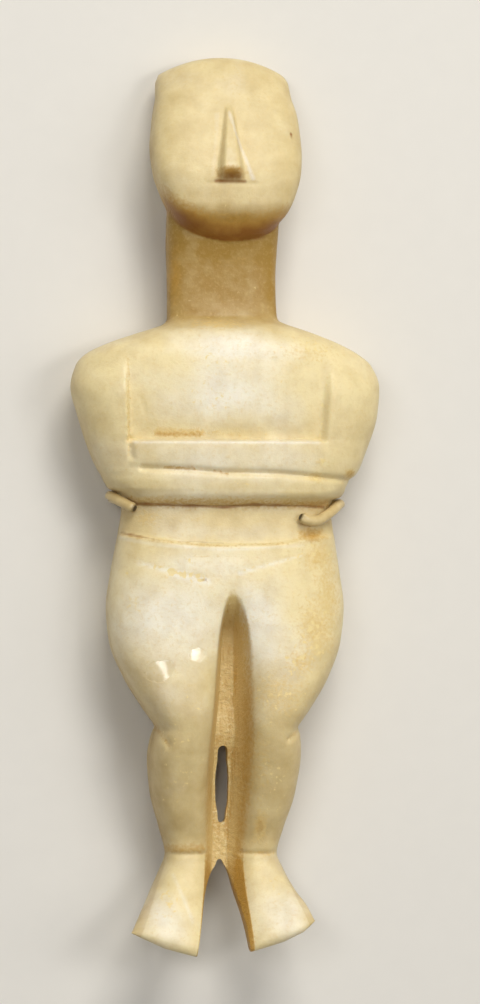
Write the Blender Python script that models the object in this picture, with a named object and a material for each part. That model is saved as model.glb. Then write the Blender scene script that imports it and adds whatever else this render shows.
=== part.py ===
"""Cycladic folded-arm figure of marble, lying on its back, with the wire that holds it at the waist.

The head points to +Y, the front to +Z and the figure's own left arm to +X. The back rests on z = 0,
under the middle of the whole figure. Inside figure_frame, x runs across, y is the level above the
toes and z is the height above the resting plane.
"""

import math

import bmesh
import bpy
import numpy as np

# Driving dimensions, in metres
HEIGHT = 0.234
WIRE_DIAMETER = 0.00275
WIRE_CLEARANCE = 0.0004

# The figure's proportions count in modules, 234 of them from the toes to the crown
MODULE = HEIGHT / 234
CROWN = HEIGHT / MODULE

# Levels of the body's landmarks
ANKLE = 25.2
KNEE = 58.2
CLEFT_TOP = 94.2
BELLY_LINE = 105.6
ARM_BOTTOM = 116.4
FOREARM_TOP = 133.1
SHOULDER_TOP = 156.0
NECK_BASE = 165.6
CHIN = 184.6
JAW_TOP = 194.5
NOSE_BOTTOM = 199.8
NOSE_TOP = 219.8
FOREARM_LINE = 124.6

# Outline seen from the front: level, left edge, right edge
BODY_OUTLINE = (
    (0.0, -26.4, 21.4),
    (7.0, -23.5, 19.9),
    (13.0, -20.5, 17.7),
    (20.0, -17.1, 15.2),
    (24.8, -15.6, 13.7),
    (31.0, -17.0, 15.2),
    (41.0, -19.5, 18.2),
    (50.5, -20.3, 19.3),
    (56.4, -19.4, 18.8),
    (KNEE, -18.7, 18.3),
    (60.0, -19.8, 19.3),
    (62.5, -21.6, 21.1),
    (71.5, -27.0, 26.7),
    (80.7, -30.5, 30.1),
    (89.4, -31.3, 31.1),
    (99.0, -30.1, 29.9),
    (109.6, -28.2, 28.3),
    (115.6, -27.4, 27.7),
    (117.2, -27.6, 28.1),
    (118.2, -27.9, 30.2),
    (119.4, -28.7, 31.0),
    (120.5, -30.9, 31.3),
    (121.4, -31.5, 31.7),
    (122.8, -32.3, 32.4),
    (123.8, -32.7, 33.8),
    (125.2, -33.6, 34.8),
    (129.3, -35.5, 36.5),
    (139.8, -38.9, 39.9),
    (147.0, -40.6, 40.5),
    (152.9, -39.1, 38.4),
    (155.5, -36.7, 35.4),
    (158.2, -31.4, 30.5),
    (160.8, -24.0, 24.2),
    (162.2, -19.6, 20.2),
    (163.4, -16.3, 16.6),
    (164.6, -15.2, 14.1),
    (166.0, -15.1, 13.7),
    (176.0, -15.2, 13.4),
    (187.0, -15.5, 13.9),
    (CROWN, -15.5, 13.9),
)
HEAD_OUTLINE = (
    (CHIN, 0.2, 1.0),
    (185.8, -6.2, 7.4),
    (187.4, -10.3, 11.2),
    (189.6, -13.2, 13.5),
    (192.5, -15.1, 15.8),
    (197.6, -17.5, 18.0),
    (202.8, -19.2, 19.3),
    (209.2, -19.8, 19.8),
    (216.4, -19.1, 19.4),
    (224.6, -17.9, 18.0),
    (232.0, -17.6, 17.6),
    (CROWN, -16.8, 16.6),
)

# Profile seen from the side: level, height of the front or the back on the middle line
BODY_FRONT = (
    (0.0, 31.2),
    (2.0, 32.2),
    (12.0, 26.4),
    (20.0, 21.2),
    (24.0, 19.3),
    (28.0, 19.6),
    (36.0, 23.0),
    (46.0, 26.6),
    (56.0, 29.6),
    (64.0, 30.8),
    (83.0, 29.4),
    (98.0, 28.2),
    (BELLY_LINE, 27.0),
    (114.0, 26.2),
    (124.0, 27.4),
    (148.0, 28.6),
    (SHOULDER_TOP, 27.8),
    (160.8, 25.4),
    (163.2, 22.2),
    (NECK_BASE, 19.1),
    (170.0, 18.0),
    (178.0, 18.6),
    (187.0, 20.6),
    (CROWN, 9.0),
)
FACE_FRONT = (
    (CHIN, 19.4),
    (186.2, 22.0),
    (189.0, 24.2),
    (194.0, 26.6),
    (200.0, 27.3),
    (210.2, 24.4),
    (220.6, 20.0),
    (229.8, 15.2),
    (233.0, 12.4),
    (CROWN, 9.6),
)
BACK = (
    (0.0, 26.6),
    (6.0, 20.0),
    (15.0, 7.6),
    (19.0, 4.2),
    (25.0, 4.8),
    (32.0, 2.6),
    (40.0, -0.5),
    (47.0, -0.9),
    (53.0, 0.9),
    (61.0, 5.6),
    (70.0, 2.6),
    (79.0, -0.5),
    (91.0, -1.1),
    (100.0, 0.2),
    (108.0, 4.0),
    (115.0, 5.6),
    (122.0, 4.2),
    (132.0, 0.3),
    (144.0, -1.0),
    (155.0, -0.2),
    (NECK_BASE, 3.4),
    (176.0, 4.4),
    (187.0, 3.8),
    (198.0, 1.6),
    (212.0, 0.8),
    (227.0, 1.3),
    (CROWN, 2.4),
)
# Height at which the sides turn from front to back
EDGE = (
    (0.0, 29.0),
    (8.0, 22.5),
    (18.0, 12.8),
    (25.0, 12.0),
    (43.0, 13.0),
    (58.0, 17.0),
    (73.0, 15.0),
    (90.0, 14.0),
    (114.0, 15.0),
    (148.0, 14.0),
    (NECK_BASE, 12.6),
    (183.0, 12.4),
    (190.0, 15.2),
    (195.5, 17.6),
    (202.0, 17.0),
    (213.0, 12.8),
    (227.0, 8.2),
    (CROWN, 6.0),
)

# Cleft between the legs: middle and half width at its lips, height of its floor at the front and the back
CLEFT_MIDDLE = ((0.0, -2.2), (22.0, -0.9), (43.0, -0.4), (78.0, 0.6), (91.0, 0.4), (CLEFT_TOP, 0.1))
CLEFT_LIPS = ((0.0, 7.4), (24.0, 5.0), (43.0, 5.8), (52.0, 5.8), (64.0, 5.2), (78.0, 4.5), (91.0, 2.4), (CLEFT_TOP, 0.9))
CLEFT_FRONT = ((0.0, 29.0), (16.0, 14.0), (24.0, 12.4), (43.0, 14.0), (64.0, 16.4), (80.0, 17.6), (90.0, 21.0))
CLEFT_BACK = ((0.0, 27.0), (16.0, 12.0), (24.0, 10.2), (43.0, 11.8), (64.0, 11.4), (76.0, 6.5), (88.0, -1.0))
CLEFT_FLOOR_SHIFT = -0.12
CLEFT_FLOOR_SHARE = 0.38
CLEFT_FRONT_FULL = 83.0
CLEFT_BACK_FULL, CLEFT_BACK_TOP = 68.0, 88.0
LEG_BLEND_TOP = 102.0
LEG_BLEND_BOTTOM = 64.0
LEG_TURN_AT_LIP = -0.78

# Fullness of the sections: 2 is an ellipse, and more is squarer
FRONT_FULLNESS = 2.6
BACK_FULLNESS = 2.9
FACE_FULLNESS = 3.2
CHIN_SOFTNESS = 0.6

# Openings through the cleft's floor: x and level
CALF_HOLE = (
    (-0.9, 53.2), (-2.3, 48.5), (-2.7, 41.5), (-2.1, 36.0), (-0.9, 32.8), (0.3, 36.0), (0.8, 41.5), (0.5, 48.5),
)
FOOT_NOTCH = (
    (-1.4, 23.2), (-2.7, 21.3), (-4.3, 19.0), (-6.2, 15.0), (-7.5, 10.0), (-9.6, 0.0), (-11.4, -20.0),
    (6.5, -20.0), (4.5, 0.0), (3.5, 9.0), (2.1, 15.2), (1.1, 19.0), (-0.1, 21.7),
)

# Toe edges slant: x of each toe edge's ends and middle, and how far those lie above the toe level
TOE_ENDS = (-26.4, -18.0, -10.0, 4.8, 13.0, 18.2, 21.4)
TOE_RISES = (6.2, 2.3, 0.0, 1.0, 3.5, 5.9, 8.6)
CROWN_SAG = 4.5
CROWN_SAG_START = 219.0

# Carving
ARM_RELIEF = 2.0
ARM_BOTTOM_RISES, ELBOW_REACH = (3.8, 2.0), (22, 32)
WAIST_RELIEF = -1.3
BELLY_LINE_RISE, BELLY_REACH = 2.4, (8, 26)
LEFT_ARM_LINE, RIGHT_ARM_LINE = (-26.5, -27.3), (23.2, 24.9)
NOSE_RELIEFS = (5.2, 1.0)
NOSE_HALF_WIDTHS = (4.2, 1.5)
NOSE_FACE_SHARE = 0.62
NOSE_MIDDLES = (-0.6, 0.2)
CREASE_WIDTH = 0.75
# Carved lines: depth and points
CREASES = (
    (0.9, ((-26.6, FOREARM_TOP), (-26.0, FOREARM_TOP - 4.5))),
    (
        0.9,
        (
            (-23.3, FOREARM_LINE + 1.1),
            (-10.0, FOREARM_LINE + 0.6),
            (-3.2, FOREARM_LINE),
            (12.2, FOREARM_LINE - 0.3),
            (30.8, FOREARM_LINE - 1.8),
        ),
    ),
    (0.5, ((-23.5, 101.0), (-5.7, 96.7))),
    (0.4, ((1.6, 98.8), (18.0, 103.2))),
    (0.9, ((-19.4, 58.8), (-16.5, 54.4))),
    (0.9, ((19.2, 59.0), (14.4, 55.7))),
    (0.7, ((-15.8, ANKLE), (-6.2, ANKLE))),
    (0.7, ((3.9, ANKLE), (13.0, ANKLE))),
)
NECK_CREASE_DEPTH, NECK_CREASE_WIDTH = 0.5, 1.8
NECK_CREASE = ((-13.0, 166.0), (-4.0, 164.9), (10.0, 165.6))

# Fineness of the surface before it is thinned out: more stations where the carving is fine
STATIONS = 330
COLUMNS = 121
CLEFT_COLUMNS = 0.2
FINE_LEVELS = (ANKLE, BELLY_LINE, ARM_BOTTOM, FOREARM_TOP, 161.0, 187.0, NOSE_BOTTOM, 232.0)
FINE_REACH = 3.5
FIGURE_TRIANGLES = 8200
KEPT_EVERY = 6
CUTTER_REACH = 45.0

# Route of the wire round the waist: angle from the side towards the front, level
BACK_OF_WAIST = (-90, 115.0)
LEFT_HOOK = ((-55, 115.4), (-30, 117.0), (-10, 118.5), (2, 118.3), (9, 117.2), (14, 115.9), (17, 115.2))
RIGHT_HOOK = (
    (-55, 115.4),
    (-30, 116.0),
    (-12, 116.3),
    (-2, 116.3),
    (6, 115.7),
    (12, 114.4),
    (17, 113.0),
    (21, 112.1),
    (24, 112.0),
    (27, 112.5),
    (29.5, 113.2),
)
WAIST_MIDDLE_HEIGHT = 15.0
WIRE_STEP = 0.0001
WIRE_POINTS = 64
WIRE_END_TAPER = (0.72, 0.96)


def curve_through(points, at):
    """Value at each place of the smooth curve through (place, value) points, flat where they turn."""
    place, value = np.array(points, float).T
    gap = np.diff(place)
    slope = np.diff(value) / gap
    near, far = 2 * gap[1:] + gap[:-1], gap[1:] + 2 * gap[:-1]
    turning = slope[:-1] * slope[1:] <= 0
    before, after = np.where(turning, 1, slope[:-1]), np.where(turning, 1, slope[1:])
    inner = np.where(turning, 0, (near + far) / (near / before + far / after))
    tangent = np.concatenate([slope[:1], inner, slope[-1:]])
    span = np.clip(np.searchsorted(place, at, side="right") - 1, 0, len(gap) - 1)
    s = np.clip((at - place[span]) / gap[span], 0, 1)
    rise = value[span + 1] - value[span]
    start, end = tangent[span] * gap[span], tangent[span + 1] * gap[span]
    return value[span] + s * start + s**2 * (3 * rise - 2 * start - end) + s**3 * (start + end - 2 * rise)


def ramp(value, start, end):
    """0 before start, 1 past end, with a smooth rise between them."""
    s = np.clip((value - start) / (end - start), 0, 1)
    return s * s * (3 - 2 * s)


def dome(across, fullness):
    """Height share of a rounded section at this share of its half width."""
    return (1 - np.clip(np.abs(across), 0, 1) ** fullness) ** (1 / fullness)


def outline(points, level):
    """Left and right edge of one outline."""
    left = curve_through([(at, left) for at, left, right in points], level)
    right = curve_through([(at, right) for at, left, right in points], level)
    return left, right


def edges(level):
    """Left and right edge of the whole figure: the head's outline where it is wider than the neck."""
    left, right = outline(BODY_OUTLINE, level)
    head_left, head_right = outline(HEAD_OUTLINE, level)
    left = np.where(level > JAW_TOP, head_left, np.where(level > CHIN, np.minimum(left, head_left), left))
    right = np.where(level > JAW_TOP, head_right, np.where(level > CHIN, np.maximum(right, head_right), right))
    return left, right


def share_across(x, left, right):
    """-1 at the left edge, 1 at the right edge."""
    return (2 * x - left - right) / (right - left)


def across_front(column, level):
    """x of a column, where column runs from -1 at the left edge to 1 at the right edge."""
    left, right = edges(level)
    plain = (left + right) / 2 + (right - left) / 2 * np.sin(column * math.pi / 2)
    cleft, lips = curve_through(CLEFT_MIDDLE, level), curve_through(CLEFT_LIPS, level)
    inside = np.clip(column / CLEFT_COLUMNS, -1, 1) * lips
    out = np.clip((np.abs(column) - CLEFT_COLUMNS) / (1 - CLEFT_COLUMNS), 0, 1)
    spread = (out + np.sin(out * math.pi / 2)) / 2
    edge = np.where(column < 0, left, right)
    legs = cleft + inside + spread * (edge - cleft - np.sign(column) * lips)
    return plain + (legs - plain) * (1 - ramp(level, CLEFT_TOP + 2, CLEFT_TOP + 26))


def section_share(x, level, fullness):
    """Height share of the body's section, parted into two rounded legs towards the knees."""
    left, right = edges(level)
    whole = dome(share_across(x, left, right), fullness)
    cleft, lips = curve_through(CLEFT_MIDDLE, level), curve_through(CLEFT_LIPS, level)
    side = np.where(x < cleft, -1, 1)
    lip = cleft + side * lips
    from_lip = np.clip((x - lip) / (np.where(side < 0, left, right) - lip), 0, 1)
    leg = dome(LEG_TURN_AT_LIP + (1 - LEG_TURN_AT_LIP) * from_lip, fullness)
    return whole + (leg - whole) * (1 - ramp(level, LEG_BLEND_BOTTOM, LEG_BLEND_TOP))


def cleft_share(x, level, full, top):
    """0 outside the cleft's lips and 1 on its floor, fading out between the levels full and top."""
    cleft, lips = curve_through(CLEFT_MIDDLE, level), curve_through(CLEFT_LIPS, level)
    floor = cleft + CLEFT_FLOOR_SHIFT * lips
    half_floor = CLEFT_FLOOR_SHARE * lips
    from_left = (x - cleft + lips) / (floor - half_floor - cleft + lips)
    from_right = (cleft + lips - x) / (cleft + lips - floor - half_floor)
    return np.clip(np.minimum(from_left, from_right), 0, 1) * (1 - ramp(level, full, top))


def crease(x, level, points, depth, width):
    """A carved line along the points."""
    nearest = np.full(np.shape(x), CROWN)
    for (ax, ay), (bx, by) in zip(points, points[1:]):
        along = ((x - ax) * (bx - ax) + (level - ay) * (by - ay)) / ((bx - ax) ** 2 + (by - ay) ** 2)
        along = np.clip(along, 0, 1)
        away = np.hypot(x - ax - along * (bx - ax), level - ay - along * (by - ay))
        nearest = np.minimum(nearest, away)
    return -depth * np.exp(-((nearest / width) ** 2))


def arm_bottom(x):
    return ARM_BOTTOM + np.where(x < 0, *ARM_BOTTOM_RISES) * ramp(np.abs(x), *ELBOW_REACH)


def arm_relief(x, level):
    """The folded forearms and the upper arms stand out from the chest and the waist."""
    inner_left = np.interp(level, (FOREARM_TOP, SHOULDER_TOP), LEFT_ARM_LINE)
    inner_right = np.interp(level, (FOREARM_TOP, SHOULDER_TOP), RIGHT_ARM_LINE)
    beside = ramp(inner_left - x, -0.4, 1.2) + ramp(x - inner_right, -0.4, 1.2)
    upper = beside * (1 - ramp(level, SHOULDER_TOP - 12, SHOULDER_TOP))
    forearm = 1 - ramp(level, FOREARM_TOP - 1.2, FOREARM_TOP + 0.4)
    bottom = arm_bottom(x)
    return ARM_RELIEF * np.maximum(upper, forearm) * ramp(level, bottom - 0.6, bottom + 1.2)


def waist_relief(x, level):
    """The band between the forearms and the belly line is cut back."""
    belly = BELLY_LINE + BELLY_LINE_RISE * ramp(np.abs(x), *BELLY_REACH)
    bottom = arm_bottom(x)
    return WAIST_RELIEF * ramp(level, belly - 0.3, belly + 0.9) * (1 - ramp(level, bottom - 0.6, bottom + 3))


def nose_relief(x, level):
    """A long wedge that widens and rises towards its tip."""
    up = np.clip((level - NOSE_BOTTOM) / (NOSE_TOP - NOSE_BOTTOM), 0, 1)
    half = np.interp(up, (0, 1), NOSE_HALF_WIDTHS)
    middle = np.interp(up, (0, 1), NOSE_MIDDLES)
    ridge = 1 - ramp(np.abs(x - middle) / half, NOSE_FACE_SHARE, 1.0)
    length = ramp(level, NOSE_BOTTOM - 0.2, NOSE_BOTTOM + 2.6) * (1 - ramp(level, NOSE_TOP - 1, NOSE_TOP))
    return np.interp(up, (0, 1), NOSE_RELIEFS) * ridge * length


def front_height(x, level):
    edge = curve_through(EDGE, level)
    inner = dome(share_across(x, *edges(level)), 6)
    body = edge + (curve_through(BODY_FRONT, level) - edge) * section_share(x, level, FRONT_FULLNESS)
    across = share_across(x, *outline(HEAD_OUTLINE, level))
    face = edge + (curve_through(FACE_FRONT, level) - edge) * dome(across, FACE_FULLNESS)
    soft = CHIN_SOFTNESS * inner
    height = np.where(level > CHIN, (body + face + np.hypot(body - face, soft)) / 2, body)
    height = np.where(level > JAW_TOP, face, height)
    relief = arm_relief(x, level) + waist_relief(x, level) + nose_relief(x, level)
    for depth, points in CREASES:
        relief = relief + crease(x, level, points, depth, CREASE_WIDTH)
    relief = relief + crease(x, level, NECK_CREASE, NECK_CREASE_DEPTH, NECK_CREASE_WIDTH)
    height = height + relief * inner
    floor = np.minimum(curve_through(CLEFT_FRONT, level), height)
    return height + (floor - height) * cleft_share(x, level, CLEFT_FRONT_FULL, CLEFT_TOP)


def back_height(x, level):
    edge = curve_through(EDGE, level)
    height = edge + (curve_through(BACK, level) - edge) * section_share(x, level, BACK_FULLNESS)
    floor = np.maximum(curve_through(CLEFT_BACK, level), height)
    return height + (floor - height) * cleft_share(x, level, CLEFT_BACK_FULL, CLEFT_BACK_TOP)


def lifted_level(x, level):
    """Level of a point once the toe edges slant and the crown is arched."""
    toe = np.interp(x, TOE_ENDS, TOE_RISES) * np.clip(1 - level / ANKLE, 0, 1)
    side = share_across(x, *edges(np.full(np.shape(x), CROWN)))
    return level + toe - CROWN_SAG * side**2 * ramp(level, CROWN_SAG_START, CROWN)


def station_levels(bottom, top, count):
    """Levels of the stations, closer together where the carving is fine."""
    level = np.linspace(bottom, top, 20 * count)
    closeness = 1 + sum(2 * np.exp(-(((level - fine) / FINE_REACH) ** 2)) for fine in FINE_LEVELS)
    place = np.concatenate([[0], np.cumsum((closeness[1:] + closeness[:-1]) / 2)])
    return np.interp(np.linspace(0, place[-1], count), place, level)


def figure_points(levels):
    """Points of the front and of the back, in modules, as grids of stations by columns."""
    column, level = np.meshgrid(np.linspace(-1, 1, COLUMNS), levels)
    x = across_front(column, level)
    up = lifted_level(x, level)
    front = np.stack([x, up, front_height(x, level)], axis=-1)
    back = np.stack([x, up, back_height(x, level)], axis=-1)
    front[:, [0, -1], 2] = curve_through(EDGE, level[:, [0, -1]])
    return front, back


def figure_mesh(name, front, back):
    """The front and back grids joined at their edges, closed at the toes and the crown."""
    mesh = bmesh.new()
    fronts = [[mesh.verts.new(point * MODULE) for point in row] for row in front]
    backs = [
        [top[0]] + [mesh.verts.new(point * MODULE) for point in row[1:-1]] + [top[-1]]
        for row, top in zip(back, fronts)
    ]
    for rows, outward in ((fronts, True), (backs, False)):
        for low, high in zip(rows, rows[1:]):
            for i in range(COLUMNS - 1):
                corners = (low[i], low[i + 1], high[i + 1], high[i])
                mesh.faces.new(corners if outward else corners[::-1])
    for top, bottom, outward in ((fronts[0], backs[0], False), (fronts[-1], backs[-1], True)):
        for i in range(COLUMNS - 1):
            corners = list(dict.fromkeys((top[i], top[i + 1], bottom[i + 1], bottom[i])))
            mesh.faces.new(corners if outward else corners[::-1])
    data = bpy.data.meshes.new(name)
    mesh.to_mesh(data)
    mesh.free()
    return data


def plain_material(name, colour, roughness):
    material = bpy.data.materials.new(name)
    material.use_nodes = True
    shader = material.node_tree.nodes["Principled BSDF"]
    shader.inputs["Base Color"].default_value = (*colour, 1)
    shader.inputs["Roughness"].default_value = roughness
    shader.inputs["Metallic"].default_value = 0
    return material


def new_object(name, data, collection):
    made = bpy.data.objects.new(name, data)
    collection.objects.link(made)
    return made


def mesh_from_curve(curve, name, collection):
    """A closed mesh object in place of the curve."""
    bpy.context.view_layer.update()
    evaluated = curve.evaluated_get(bpy.context.evaluated_depsgraph_get())
    data = bpy.data.meshes.new_from_object(evaluated)
    mesh = bmesh.new()
    mesh.from_mesh(data)
    bmesh.ops.remove_doubles(mesh, verts=mesh.verts, dist=1e-7)
    mesh.to_mesh(data)
    mesh.free()
    made = new_object(name, data, collection)
    made.matrix_world = curve.matrix_world.copy()
    bpy.data.objects.remove(curve)
    return made


def outline_cutter(name, points, collection):
    """A flat outline through the points, extruded past the whole thickness of the legs."""
    data = bpy.data.curves.new(name, "CURVE")
    data.dimensions = "2D"
    data.fill_mode = "BOTH"
    data.resolution_u = 6
    data.extrude = CUTTER_REACH * MODULE
    spline = data.splines.new("BEZIER")
    spline.bezier_points.add(len(points) - 1)
    for handle, (x, level) in zip(spline.bezier_points, points):
        handle.co = (x * MODULE, level * MODULE, 0)
        handle.handle_left_type = handle.handle_right_type = "AUTO"
    spline.use_cyclic_u = True
    return mesh_from_curve(new_object(name + "_outline", data, collection), name, collection)


def back_plane_cutter(name, collection):
    """A block under the back, whose top is the plane that the back is rubbed flat on."""
    data = bpy.data.meshes.new(name)
    mesh = bmesh.new()
    bmesh.ops.create_cube(mesh, size=1)
    bmesh.ops.scale(mesh, vec=(HEIGHT, 2 * HEIGHT, CUTTER_REACH * MODULE), verts=mesh.verts)
    mesh.to_mesh(data)
    mesh.free()
    cutter = new_object(name, data, collection)
    cutter.location = (0, HEIGHT / 2, -CUTTER_REACH * MODULE / 2)
    return cutter


def kept_points(front):
    """Numbers of the points that stay when the rest is thinned: along the toe and crown edges, and the widest."""
    rows, columns = np.meshgrid((0, STATIONS - 1), range(0, COLUMNS, KEPT_EVERY), indexing="ij")
    on_front = rows * COLUMNS + columns
    inner = columns[:, 1:-1] - 1
    on_back = STATIONS * COLUMNS + rows[:, 1:-1] * (COLUMNS - 2) + inner
    widest = [front[:, 0, 0].argmin() * COLUMNS, front[:, -1, 0].argmax() * COLUMNS + COLUMNS - 1]
    return [int(i) for i in [*on_front.flat, *on_back.flat, *widest]]


def make_figure(front, back, parts, cutters):
    figure = new_object("marble_figure", figure_mesh("marble_figure", front, back), parts)
    figure.data.materials.append(plain_material("marble", (0.78, 0.68, 0.48), 0.42))
    figure.data.shade_smooth()
    thinned = figure.vertex_groups.new(name="thinned")
    thinned.add(range(len(figure.data.vertices)), 1, "REPLACE")
    thinned.add(kept_points(front), 0, "REPLACE")
    thin = figure.modifiers.new("thin", "DECIMATE")
    thin.ratio = FIGURE_TRIANGLES / (4 * (STATIONS - 1) * (COLUMNS - 1))
    thin.vertex_group = thinned.name
    for cutter in (
        back_plane_cutter("back_plane", cutters),
        outline_cutter("calf_hole", CALF_HOLE, cutters),
        outline_cutter("foot_notch", FOOT_NOTCH, cutters),
    ):
        cutter.hide_render = True
        cutter.display_type = "WIRE"
        cut = figure.modifiers.new(cutter.name, "BOOLEAN")
        cut.operation = "DIFFERENCE"
        cut.solver = "EXACT"
        cut.object = cutter
    return figure


def wire_route():
    """Points of the wire's middle line, each one clear of the marble by the wire's radius and the clearance."""
    near_waist = station_levels(ARM_BOTTOM - 14, ARM_BOTTOM + 12, 120)
    stone = np.concatenate([side.reshape(-1, 3) for side in figure_points(near_waist)]) * MODULE
    away = WIRE_DIAMETER / 2 + WIRE_CLEARANCE
    left_hook = [(-180 - angle, level) for angle, level in LEFT_HOOK[::-1]]
    points = []
    for angle, level in [*left_hook, BACK_OF_WAIST, *RIGHT_HOOK]:
        outward = np.array([math.cos(math.radians(angle)), 0, math.sin(math.radians(angle))])
        start = np.array([0, level, WAIST_MIDDLE_HEIGHT]) * MODULE
        reach = HEIGHT / 4
        while np.linalg.norm(stone - start - outward * (reach - WIRE_STEP), axis=1).min() > away:
            reach -= WIRE_STEP
        points.append(start + outward * reach)
    return np.array(points)


def evenly_spaced(points, count):
    """Points at even distances along the smooth curve through the points."""
    place = np.concatenate([[0], np.cumsum(np.linalg.norm(np.diff(points, axis=0), axis=1))])
    at = np.linspace(0, place[-1], count)
    return np.stack([curve_through(np.stack([place, along], 1), at) for along in points.T], 1)


def make_wire(parts):
    points = evenly_spaced(wire_route(), WIRE_POINTS)
    data = bpy.data.curves.new("support_wire", "CURVE")
    data.dimensions = "3D"
    data.bevel_depth = WIRE_DIAMETER / 2
    data.bevel_resolution = 2
    data.use_fill_caps = True
    spline = data.splines.new("POLY")
    spline.points.add(len(points) - 1)
    for i, point in enumerate(points):
        from_end = min(i, len(points) - 1 - i)
        spline.points[i].co = (*point, 1)
        spline.points[i].radius = WIRE_END_TAPER[from_end] if from_end < len(WIRE_END_TAPER) else 1
    wire = mesh_from_curve(new_object("support_wire_route", data, parts), "support_wire", parts)
    wire.data.materials.append(plain_material("wire_sleeve", (0.35, 0.31, 0.17), 0.45))
    wire.data.shade_smooth()
    return wire


def main():
    for old in list(bpy.data.objects):
        bpy.data.objects.remove(old)
    parts = bpy.data.collections.new("cycladic_figurine")
    cutters = bpy.data.collections.new("cutters")
    bpy.context.scene.collection.children.link(parts)
    bpy.context.scene.collection.children.link(cutters)
    front, back = figure_points(station_levels(0, CROWN, STATIONS))
    make_figure(front, back, parts, cutters)
    make_wire(parts)
    # The middle of the figure's underside goes to the origin
    lowest, highest = front.min(axis=(0, 1)), front.max(axis=(0, 1))
    frame = new_object("figure_frame", None, parts)
    frame.location = (*(-(lowest + highest)[:2] / 2 * MODULE), 0)
    for made in list(parts.objects) + list(cutters.objects):
        if made != frame:
            made.parent = frame


if __name__ == "__main__":
    main()
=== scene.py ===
"""Looks of the folded-arm marble figure and of the sleeved wire that holds it at the waist.

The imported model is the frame. Lengths of the figure count in modules, 234 from the toes to the crown, with x
across, level up from the toes and height above the surface that the figure lies on. Left and right are those
of someone who looks at its front.
"""

import math

import bpy
import numpy as np
from bpy.props import FloatProperty, FloatVectorProperty, PointerProperty
from mathutils import Matrix, Vector, noise
from mathutils.bvhtree import BVHTree


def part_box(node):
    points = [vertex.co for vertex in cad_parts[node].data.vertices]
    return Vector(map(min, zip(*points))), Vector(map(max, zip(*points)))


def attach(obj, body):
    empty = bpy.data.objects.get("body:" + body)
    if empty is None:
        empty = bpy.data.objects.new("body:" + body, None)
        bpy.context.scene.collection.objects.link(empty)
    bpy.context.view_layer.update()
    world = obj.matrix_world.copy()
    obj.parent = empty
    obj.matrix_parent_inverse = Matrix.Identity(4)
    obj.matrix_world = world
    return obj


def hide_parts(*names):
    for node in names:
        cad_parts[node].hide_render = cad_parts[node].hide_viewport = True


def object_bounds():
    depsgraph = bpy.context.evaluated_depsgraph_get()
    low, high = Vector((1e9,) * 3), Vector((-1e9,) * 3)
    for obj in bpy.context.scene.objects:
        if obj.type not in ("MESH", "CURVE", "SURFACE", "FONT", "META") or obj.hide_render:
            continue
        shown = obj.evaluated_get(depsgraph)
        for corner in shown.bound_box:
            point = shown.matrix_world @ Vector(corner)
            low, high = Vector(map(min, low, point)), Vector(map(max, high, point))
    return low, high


bl_info = {
    "name": "Folded-arm Marble Figurine",
    "version": (1, 0, 0),
    "blender": (4, 5, 0),
    "location": "3D View > Sidebar > Figurine",
    "description": "A carved marble figurine with soil in its carving, and the sleeved wire that holds it",
    "category": "Object",
}

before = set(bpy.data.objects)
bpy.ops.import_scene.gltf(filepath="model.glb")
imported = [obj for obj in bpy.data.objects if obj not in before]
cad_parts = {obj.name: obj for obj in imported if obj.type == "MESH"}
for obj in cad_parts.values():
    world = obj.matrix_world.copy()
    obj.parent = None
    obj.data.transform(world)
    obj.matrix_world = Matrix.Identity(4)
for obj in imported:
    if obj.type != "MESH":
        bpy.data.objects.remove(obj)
CAD_BOX = [list(corner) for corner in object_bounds()]
HEIGHT = CAD_BOX[1][1] - CAD_BOX[0][1]

# The figure's proportions count in modules, 234 of them from the toes to the crown
MODULE = HEIGHT / 234
CROWN = HEIGHT / MODULE

# Levels of the body's landmarks
ANKLE = 25.2
KNEE = 58.2
CLEFT_TOP = 94.2
BELLY_LINE = 105.6
ARM_BOTTOM = 116.4
FOREARM_TOP = 133.1
SHOULDER_TOP = 156.0
NECK_BASE = 165.6
CHIN = 184.6
JAW_TOP = 194.5
NOSE_BOTTOM = 199.8
NOSE_TOP = 219.8
FOREARM_LINE = 124.6

# Outline seen from the front: level, left edge, right edge
BODY_OUTLINE = (
    (0, -26.4, 21.4), (7, -23.5, 19.9), (13, -20.5, 17.7), (20, -17.1, 15.2), (24.8, -15.6, 13.7),
    (31, -17, 15.2), (41, -19.5, 18.2), (50.5, -20.3, 19.3), (56.4, -19.4, 18.8), (KNEE, -18.7, 18.3),
    (60, -19.8, 19.3), (62.5, -21.6, 21.1), (71.5, -27, 26.7), (80.7, -30.5, 30.1), (89.4, -31.3, 31.1),
    (99, -30.1, 29.9), (109.6, -28.2, 28.3), (115.6, -27.4, 27.7), (117.2, -27.6, 28.1),
    (118.2, -27.9, 30.2), (119.4, -28.7, 31), (120.5, -30.9, 31.3), (121.4, -31.5, 31.7),
    (122.8, -32.3, 32.4), (123.8, -32.7, 33.8), (125.2, -33.6, 34.8), (129.3, -35.5, 36.5),
    (139.8, -38.9, 39.9), (147, -40.6, 40.5), (152.9, -39.1, 38.4), (155.5, -36.7, 35.4),
    (158.2, -31.4, 30.5), (160.8, -24, 24.2), (162.2, -19.6, 20.2), (163.4, -16.3, 16.6),
    (164.6, -15.2, 14.1), (166, -15.1, 13.7), (176, -15.2, 13.4), (187, -15.5, 13.9), (CROWN, -15.5, 13.9),
)
HEAD_OUTLINE = (
    (CHIN, 0.2, 1), (185.8, -6.2, 7.4), (187.4, -10.3, 11.2), (189.6, -13.2, 13.5), (192.5, -15.1, 15.8),
    (197.6, -17.5, 18), (202.8, -19.2, 19.3), (209.2, -19.8, 19.8), (216.4, -19.1, 19.4), (224.6, -17.9, 18),
    (232, -17.6, 17.6), (CROWN, -16.8, 16.6),
)

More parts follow.
